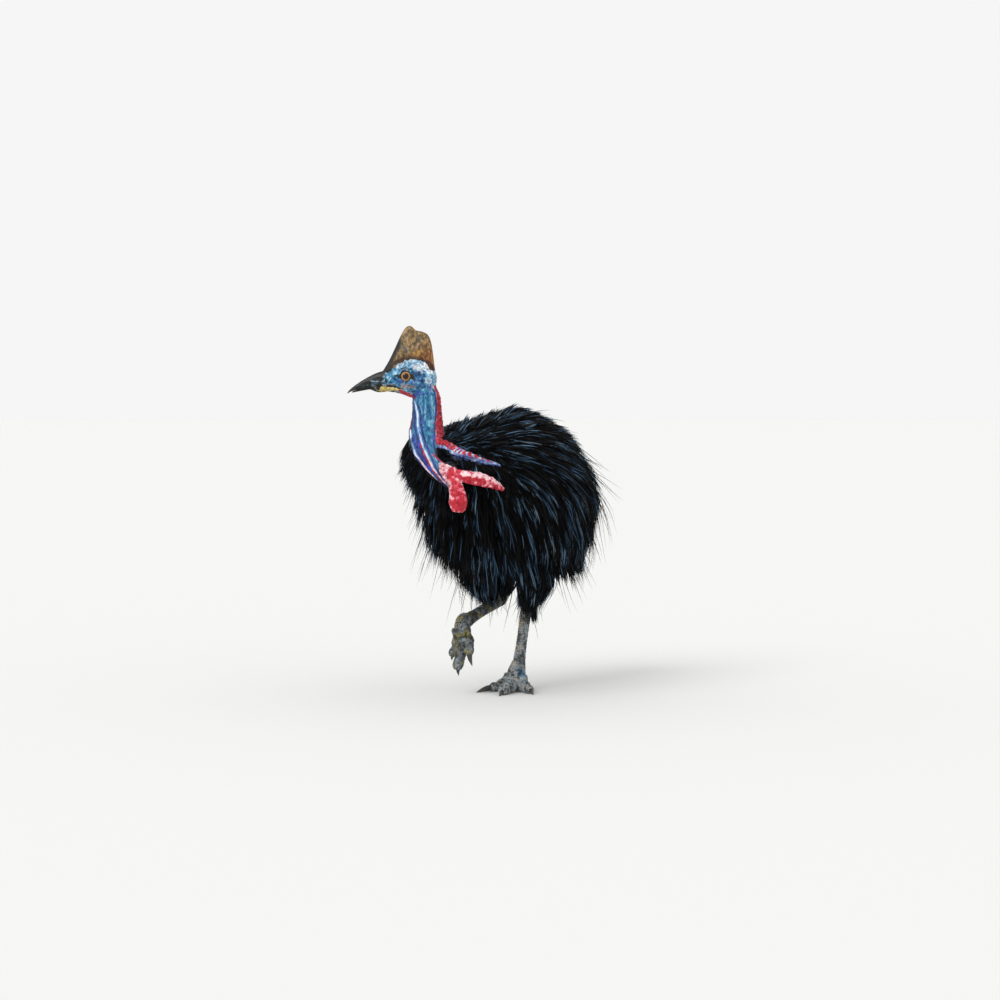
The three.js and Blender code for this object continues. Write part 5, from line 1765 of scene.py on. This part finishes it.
def comb(roots, lengths, depths, tips, twists, tree, hems):
    """The run of each guide feather from the skin out to the outline, and the way out of the coat along it"""
    sweeps = np.array(SWEEP)
    runs, outs = np.empty((2, len(roots), STEPS, 3))
    for index, root in enumerate(roots):
        place, normal, _, _ = tree.find_nearest(Vector(root))
        stride, twist, free = lengths[index] / (STEPS - 1), twists[index], False
        for k in range(STEPS):
            t = k / (STEPS - 1)
            inset = depths[index] * (1 - t) ** 1.15 + tips[index] * t
            runs[index, k] = place - normal * inset
            outs[index, k] = normal
            ahead_share = float(step(-120, -420, place.y) * step(1000, 930, place.z))
            sweep = float(np.interp(place.z, sweeps[:, 0], sweeps[:, 1])) * (1 - 0.85 * ahead_share)
            way = DOWN + BACKWARD * sweep
            if not free:
                way = way - normal * way.dot(normal)
            way.normalize()
            way = way * math.cos(twist) + normal.cross(way) * math.sin(twist)
            place = place + way * stride
            free = free or normal.z < -0.45 + 0.2 * ahead_share or place.z < hems[index]
            if not free:
                place, here, _, _ = tree.find_nearest(place)
                normal = (normal + here).normalized()
    return runs, outs


def feathers(runs, outs, half_wide, half_thick, sides, roots, tone):
    """Closed tapering strands along runs: points, faces, flat map and marks"""
    count, rings = runs.shape[:2]
    way = unit(np.gradient(runs, axis=1))
    side = unit(np.cross(way, outs))
    lift = np.cross(side, way)
    t = np.linspace(0, 1, rings)
    taper = (0.35 + 0.65 * np.sin(math.pi * np.minimum(t * 1.5 + 0.12, 0.5))) * (1 - t**2.2) + 0.04
    turn = ring_turns(sides) + (math.pi / 2 if sides == 3 else 0)
    wide = (half_wide[:, None] * taper)[:, :, None, None] * np.cos(turn)[None, None, :, None]
    thick = (half_thick * taper)[None, :, None, None] * np.sin(turn)[None, None, :, None]
    points = runs[:, :, None] + wide * side[:, :, None] + thick * lift[:, :, None]
    first = np.arange(count)[:, None] * rings * sides
    corner = np.arange(sides)
    quads = strips(first[..., None] + (np.arange(rings - 1) * sides)[:, None], sides)
    caps = np.concatenate([first + corner[::-1], first + (rings - 1) * sides + corner])
    points, faces = outward(points.reshape(-1, 3), [quads, caps])
    ring = np.tile(np.repeat(np.arange(rings), sides), count)
    around = np.tile(np.arange(sides), count * rings)
    owner = np.repeat(np.arange(count), rings * sides)
    place_u, place_v = around / sides, ring / (rings - 1) * 0.8 + 0.1 * (around == 1)
    corners = patch_map(faces, owner, roots, place_u, place_v)
    marks = {"tone": np.repeat(tone, rings * sides), "along": ring / (rings - 1)}
    return points, faces, corners, marks


def drawn_in(runs, share):
    """Runs shortened toward their roots to a share of their length"""
    return runs[:, :1] + (runs - runs[:, :1]) * share[:, None, None]


def region_of(roots, share):
    """Which part of the coat each root belongs to"""
    y, z = roots[:, 1], roots[:, 2]
    hand = np.where(on_left(roots), "left", "right")
    region = np.char.add(np.where(z > 800, "flank_", "belly_"), hand)
    region = np.where(y < -240, np.char.add("breast_", hand), region)
    region = np.where(y > 270, np.char.add("rump_", hand), region)
    region = np.where((z > 1000) & (y >= -240) & (y <= 270), "back", region)
    return np.where(share > 0.5, np.char.add("thigh_", hand), region)


COAT_NODES = {
    "breast_left": ("trunk",), "breast_right": ("trunk",), "back": ("trunk",),
    "flank_left": ("trunk", "wing_left"), "flank_right": ("trunk", "wing_right"),
    "belly_left": ("trunk",), "belly_right": ("trunk",), "rump_left": ("tail",), "rump_right": ("tail",),
    "thigh_left": ("thigh_left",), "thigh_right": ("thigh_right",),
}


def combed(roots, tree, dice):
    """Guide feathers from their roots, cut off at the hem of the plumage"""
    count = len(roots)
    share = thigh_share(roots)
    lengths = coat_length(roots, share) * dice.uniform(0.78, 1.2, count)
    depths = coat_depth(roots)
    tips = depths * dice.uniform(-0.1, 0.42, count) + 6 * step(980, 1060, roots[:, 2]) + 7 * share
    tips = tips + 18 * step(-360, -460, roots[:, 1])
    twists = 0.035 * ripple(roots, 120, 61) + dice.normal(0, 0.03, count)
    on_thigh, y = share > 0.5, roots[:, 1]
    free = np.where(on_thigh, FREE_BELOW["thigh"], FREE_BELOW["trunk"])
    runs, outs = comb(roots, lengths, depths, tips, twists, tree, free)
    trunk_hem = HEM["trunk"] + 26 * step(-120, -300, y) + 30 * step(200, 400, y)
    thigh_hem = np.where(on_left(roots), HEM["left"], HEM["right"])
    lowest = [dice.normal(hem, HEM["uneven"]) for hem in (thigh_hem, trunk_hem)]
    lowest = np.where(on_thigh, *lowest)
    drop = runs[:, 0, 2] - runs[:, -1, 2]
    room = np.maximum(runs[:, 0, 2] - lowest, 18)
    runs = drawn_in(runs, np.minimum(1, room / np.maximum(drop, 1)))
    thighs = np.array([leg[4][-1][:2] for leg in LEGS.values()], float)
    apart = np.linalg.norm(roots[:, None, :2] - thighs, axis=2)
    axis = np.array(HEM_ENDS, float)[apart.argmin(1)][:, None]
    pull = HEM_PULL * step(450, 320, runs[..., 2]) * on_thigh[:, None]
    runs[..., :2] += (axis - runs[..., :2]) * pull[..., None]
    return runs, outs, share


def make_coat(outline):
    """The plumage: guide feathers combed over the outline, and the strands spread round each"""
    points, faces = outline
    tree = tree_of(points, faces)
    dice = np.random.default_rng(SEED)

    def weight(centre):
        bare = bare_distance(centre)
        low = step(352, 384, centre[:, 2])
        return step(-5, 1, bare) * low * (1 + 2.0 * step(110, 10, bare)) * (1 + 0.9 * thigh_share(centre))

    def edges(centre):
        """Where strays grow: the breast, the rump and the hem"""
        y, z = centre[:, 1], centre[:, 2]
        rim = np.maximum(step(-220, -330, y), step(150, 330, y)) * step(1060, 960, z) + step(620, 540, z)
        return weight(centre) * np.clip(rim + 0.06, 0, 1)

    roots = scattered(points, faces, GUIDES, weight, dice)
    runs, outs, share = combed(roots, tree, dice)
    region = region_of(roots, share)
    drift = 0.5 + 0.5 * ripple(roots * [1, 1, 0.6], 70, 62)
    outer = 1 - 0.5 * step(-300, -440, roots[:, 1]) - 0.4 * step(260, 420, roots[:, 1])
    # Guides whose locks carry painted highlights: more on the back, flanks and thighs, fewer at the breast and
    # rump
    bright = dice.random(GUIDES) < PAINTED_HIGHLIGHT_SHARE * np.clip(2.1 * drift - 0.25, 0.1, 2) * (outer + 0.25 * share)
    tone = np.where(bright, dice.uniform(0.66, 1.0, GUIDES), dice.uniform(0.0, 0.5, GUIDES))
    stray_roots = scattered(points, faces, STRAY_GUIDES, edges, dice)
    stray_runs, stray_outs, stray_share = combed(stray_roots, tree, dice)
    stray_region = region_of(stray_roots, stray_share)
    stray_tone = dice.uniform(0, 0.7, STRAY_GUIDES)
    material = plumage_material()
    for name, nodes in COAT_NODES.items():
        mine, stray = region == name, stray_region == name
        shapes = [strands(runs[mine], outs[mine], tone[mine], kind, dice) for kind in (UNDER, OVER)]
        shapes.append(strands(stray_runs[stray], stray_outs[stray], stray_tone[stray], STRAY, dice))
        coat_piece(name, shapes, material, *nodes)
    make_fringe(material, dice)


def neck_cover(points):
    """Where the fringe grows, and how densely"""
    return np.maximum(neck_front(points), 1.6 * neck_hind(points))


def make_fringe(material, dice):
    """Short feathers that climb the front and the back of the neck's foot"""
    rings, faces = neck_rings()
    roots = scattered(rings, [group for group in faces if group.shape[1] == 4], NECK_GUIDES, neck_cover, dice)
    hind = (neck_place(roots)[0] > 0)[:, None]
    normals = facing(roots, tree_of(rings, faces))[1]
    lengths = dice.uniform(48, 84, NECK_GUIDES) * np.where(hind[:, 0], 0.55, 1)
    t = np.linspace(0, 1, STEPS)[None, :, None]
    lean = normals * np.where(hind, 0.3, 0.45) - UP * np.where(hind, 0.45, 1.0)
    lean = unit(lean + np.where(hind, ACROSS, 0))
    onward = lean[:, None] * t + [0, 0, -0.16] * t**2
    runs = roots[:, None] - normals[:, None] * 3 * (1 - t) + lengths[:, None, None] * onward
    outs = np.repeat(normals[:, None], STEPS, axis=1)
    shapes = [strands(runs, outs, dice.uniform(0, 0.72, NECK_GUIDES), FRINGE, dice)]
    coat_piece("neck", shapes, material, "neck_lower")


def coat_piece(name, shapes, material, *nodes):
    """One piece of the coat from several kinds of feather"""
    shapes = [shape for shape in shapes if len(shape[0])]
    marks = {label: np.concatenate([shape[3][label] for shape in shapes]) for label in ("tone", "along")}
    shape = joined([shape[:2] for shape in shapes])
    hand_in(f"coat_{name}", shape, joined_corners(shapes), marks, material, "plumage", *nodes)


def joined_corners(shapes):
    """Flat maps in the order in which joined() groups the faces"""
    groups = {}
    for _, faces, corners, _ in shapes:
        start = 0
        for group in faces:
            groups.setdefault(group.shape[1], []).append(corners[start:start + group.size])
            start += group.size
    return np.vstack([np.vstack(group) for _, group in sorted(groups.items())])


def kept_inside(runs):
    """Each strand shortened toward its root so far that it stays in the room that the model may take up"""
    low, high = (np.array(corner) * 1000 + FOOT for corner in CAD_BOX)
    room = (high - low) * BOX_SHARE + BOX_EXTRA
    root = runs[:, :1]
    way = runs - root
    with np.errstate(divide="ignore", invalid="ignore"):
        above = np.where(way > 1e-6, (high + room - root) / way, 1)
        below = np.where(way < -1e-6, (low - room - root) / way, 1)
    return drawn_in(runs, np.clip(np.minimum(above, below).min((1, 2)), 0.1, 1))


def strands(runs, outs, guide_tone, kind, dice):
    """Feathers spread round each guide: apart at the skin, gathered toward the tip, each with its wave"""
    index = np.repeat(np.arange(len(runs)), kind["each"])
    count = len(index)
    run, out, guide = runs[index], outs[index], guide_tone[index]
    t = np.linspace(0, 1, STEPS)[None, :, None]
    way = unit(np.gradient(run, axis=1))
    side = unit(np.cross(way, out))
    length = np.linalg.norm(np.diff(run, axis=1), axis=2).sum(1)[:, None, None]
    gathered = np.where(guide > PAINTED_HIGHLIGHT_FROM, 0.6, 1)[:, None, None]
    gathered = gathered * (1 - 0.45 * step(520, 400, run[:, :1, 2:]))
    across = dice.normal(0, kind["spread"], (count, 1, 1)) * gathered
    behind = dice.uniform(-0.16, 0.16, (count, 1, 1)) * length
    wave = np.sin(t * dice.uniform(2.5, 6, (count, 1, 1)) + dice.uniform(0, math.tau, (count, 1, 1)))
    sway = kind["sway"] * length * t * wave
    low_back = 1 - 0.75 * step(990, 1080, run[:, :1, 2:])
    rise = (dice.normal(0, kind["rise"], (count, 1, 1)) * t + kind["lift"] * t**2) * low_back
    run = run + side * (across * (1 - 0.5 * t**1.4) + sway) + way * behind * (1 - 0.5 * t) + out * rise
    run = drawn_in(run, dice.uniform(*kind["length"], count))
    flat = run.reshape(-1, 3)
    if kind is FRINGE:
        feathered = np.maximum(neck_front(flat), neck_hind(flat))
        over_skin = (wattle_share(flat) > 0.05) | (off_neck(flat) < 16) & (feathered < 0.3)
    else:
        over_skin = bare_distance(flat) < 1
    over_skin = over_skin.reshape(count, STEPS)
    over_skin[:, 0] = False
    reach = np.where(over_skin.any(1), (over_skin.argmax(1) - 0.6) / (STEPS - 1), 1)
    run = kept_inside(drawn_in(run, reach))
    own = dice.random(count)
    # Most strands of a lock with painted highlights take the guide's tone and the rest stay dark; a rare strand
    # of a dark lock takes a painted highlight too
    painted_highlight_lock = np.where(own < 0.62, guide - 0.12 * own, 0.4 * own)
    dark_lock = np.where((guide < PAINTED_HIGHLIGHT_FROM) & (own > 0.94), 0.75, 0.55 * own)
    tone = np.where(guide > PAINTED_HIGHLIGHT_FROM, painted_highlight_lock, dark_lock)
    # Strands with painted highlights are made wider
    half = kind["wide"] * dice.uniform(0.6, 1.35, count) * np.where(tone > PAINTED_HIGHLIGHT_FROM, 1.7, 1.0)
    # Under strands are darkened so that they carry no painted highlight
    if kind is UNDER:
        tone = tone * 0.5
    return feathers(run, out, half, kind["thick"], kind["sides"], root_map(run[:, 0]), tone)


# Floor, light and camera

CAMERA = {"azimuth": 45, "elevation": 3, "distance": 9300, "per_pixel": 3.95, "target": (-22.3, -22.3, 764)}
PICTURE_WIDTH = 1000
SENSOR = 36.0
FLOOR_REACH = 60000
FLOOR_SIDES = 96
STUDIO = {"world": 0.92, "sun": 1.35, "spread": 35, "from": (0.05, -0.75, 0.72)}


def make_camera():
    """A long lens at the height of the breast, as the drawing sees the bird"""
    camera = bpy.data.objects.new("camera", bpy.data.cameras.new("camera"))
    bpy.context.scene.collection.objects.link(camera)
    turn, rise = math.radians(CAMERA["azimuth"]), math.radians(CAMERA["elevation"])
    back = Vector((math.sin(turn) * math.cos(rise), -math.cos(turn) * math.cos(rise), math.sin(rise)))
    camera.location = Vector(metres(CAMERA["target"])) + back * CAMERA["distance"] / 1000
    camera.rotation_euler = (-back).to_track_quat("-Z", "Y").to_euler()
    camera.data.sensor_width = SENSOR
    camera.data.lens = SENSOR * CAMERA["distance"] / (CAMERA["per_pixel"] * PICTURE_WIDTH)
    bpy.context.scene.camera = camera


def make_floor():
    turn = ring_turns(FLOOR_SIDES)
    rim = np.stack([FLOOR_REACH * np.cos(turn), FLOOR_REACH * np.sin(turn), 0 * turn], 1)
    floor = build("floor", rim, [np.arange(FLOOR_SIDES)[None]], material=floor_material())


def make_light():
    """A bright even room and one broad soft light, together as bright on the floor as the room behind it"""
    world = bpy.data.worlds.new("studio")
    world.use_nodes = True
    room = world.node_tree.nodes["Background"].inputs
    room["Color"].default_value = linear("#FFFFFF")
    room["Strength"].default_value = STUDIO["world"]
    bpy.context.scene.world = world
    data = bpy.data.lights.new("softbox", "SUN")
    data.energy = STUDIO["sun"]
    data.angle = math.radians(STUDIO["spread"])
    lamp = bpy.data.objects.new("softbox", data)
    lamp.rotation_euler = Vector(STUDIO["from"]).to_track_quat("Z", "Y").to_euler()
    bpy.context.scene.collection.objects.link(lamp)
    bpy.context.scene.view_settings.view_transform = "Standard"


def main():
    make_camera()
    make_light()
    make_floor()
    outline = trunk_outline()
    legs = make_skin(outline)
    make_casque()
    make_bill()
    make_eyes()
    make_claws()
    material = scale_material()
    for name, leg in legs.items():
        make_scales(name, leg, material)
    make_coat(outline)


main()

bpy.context.view_layer.update()
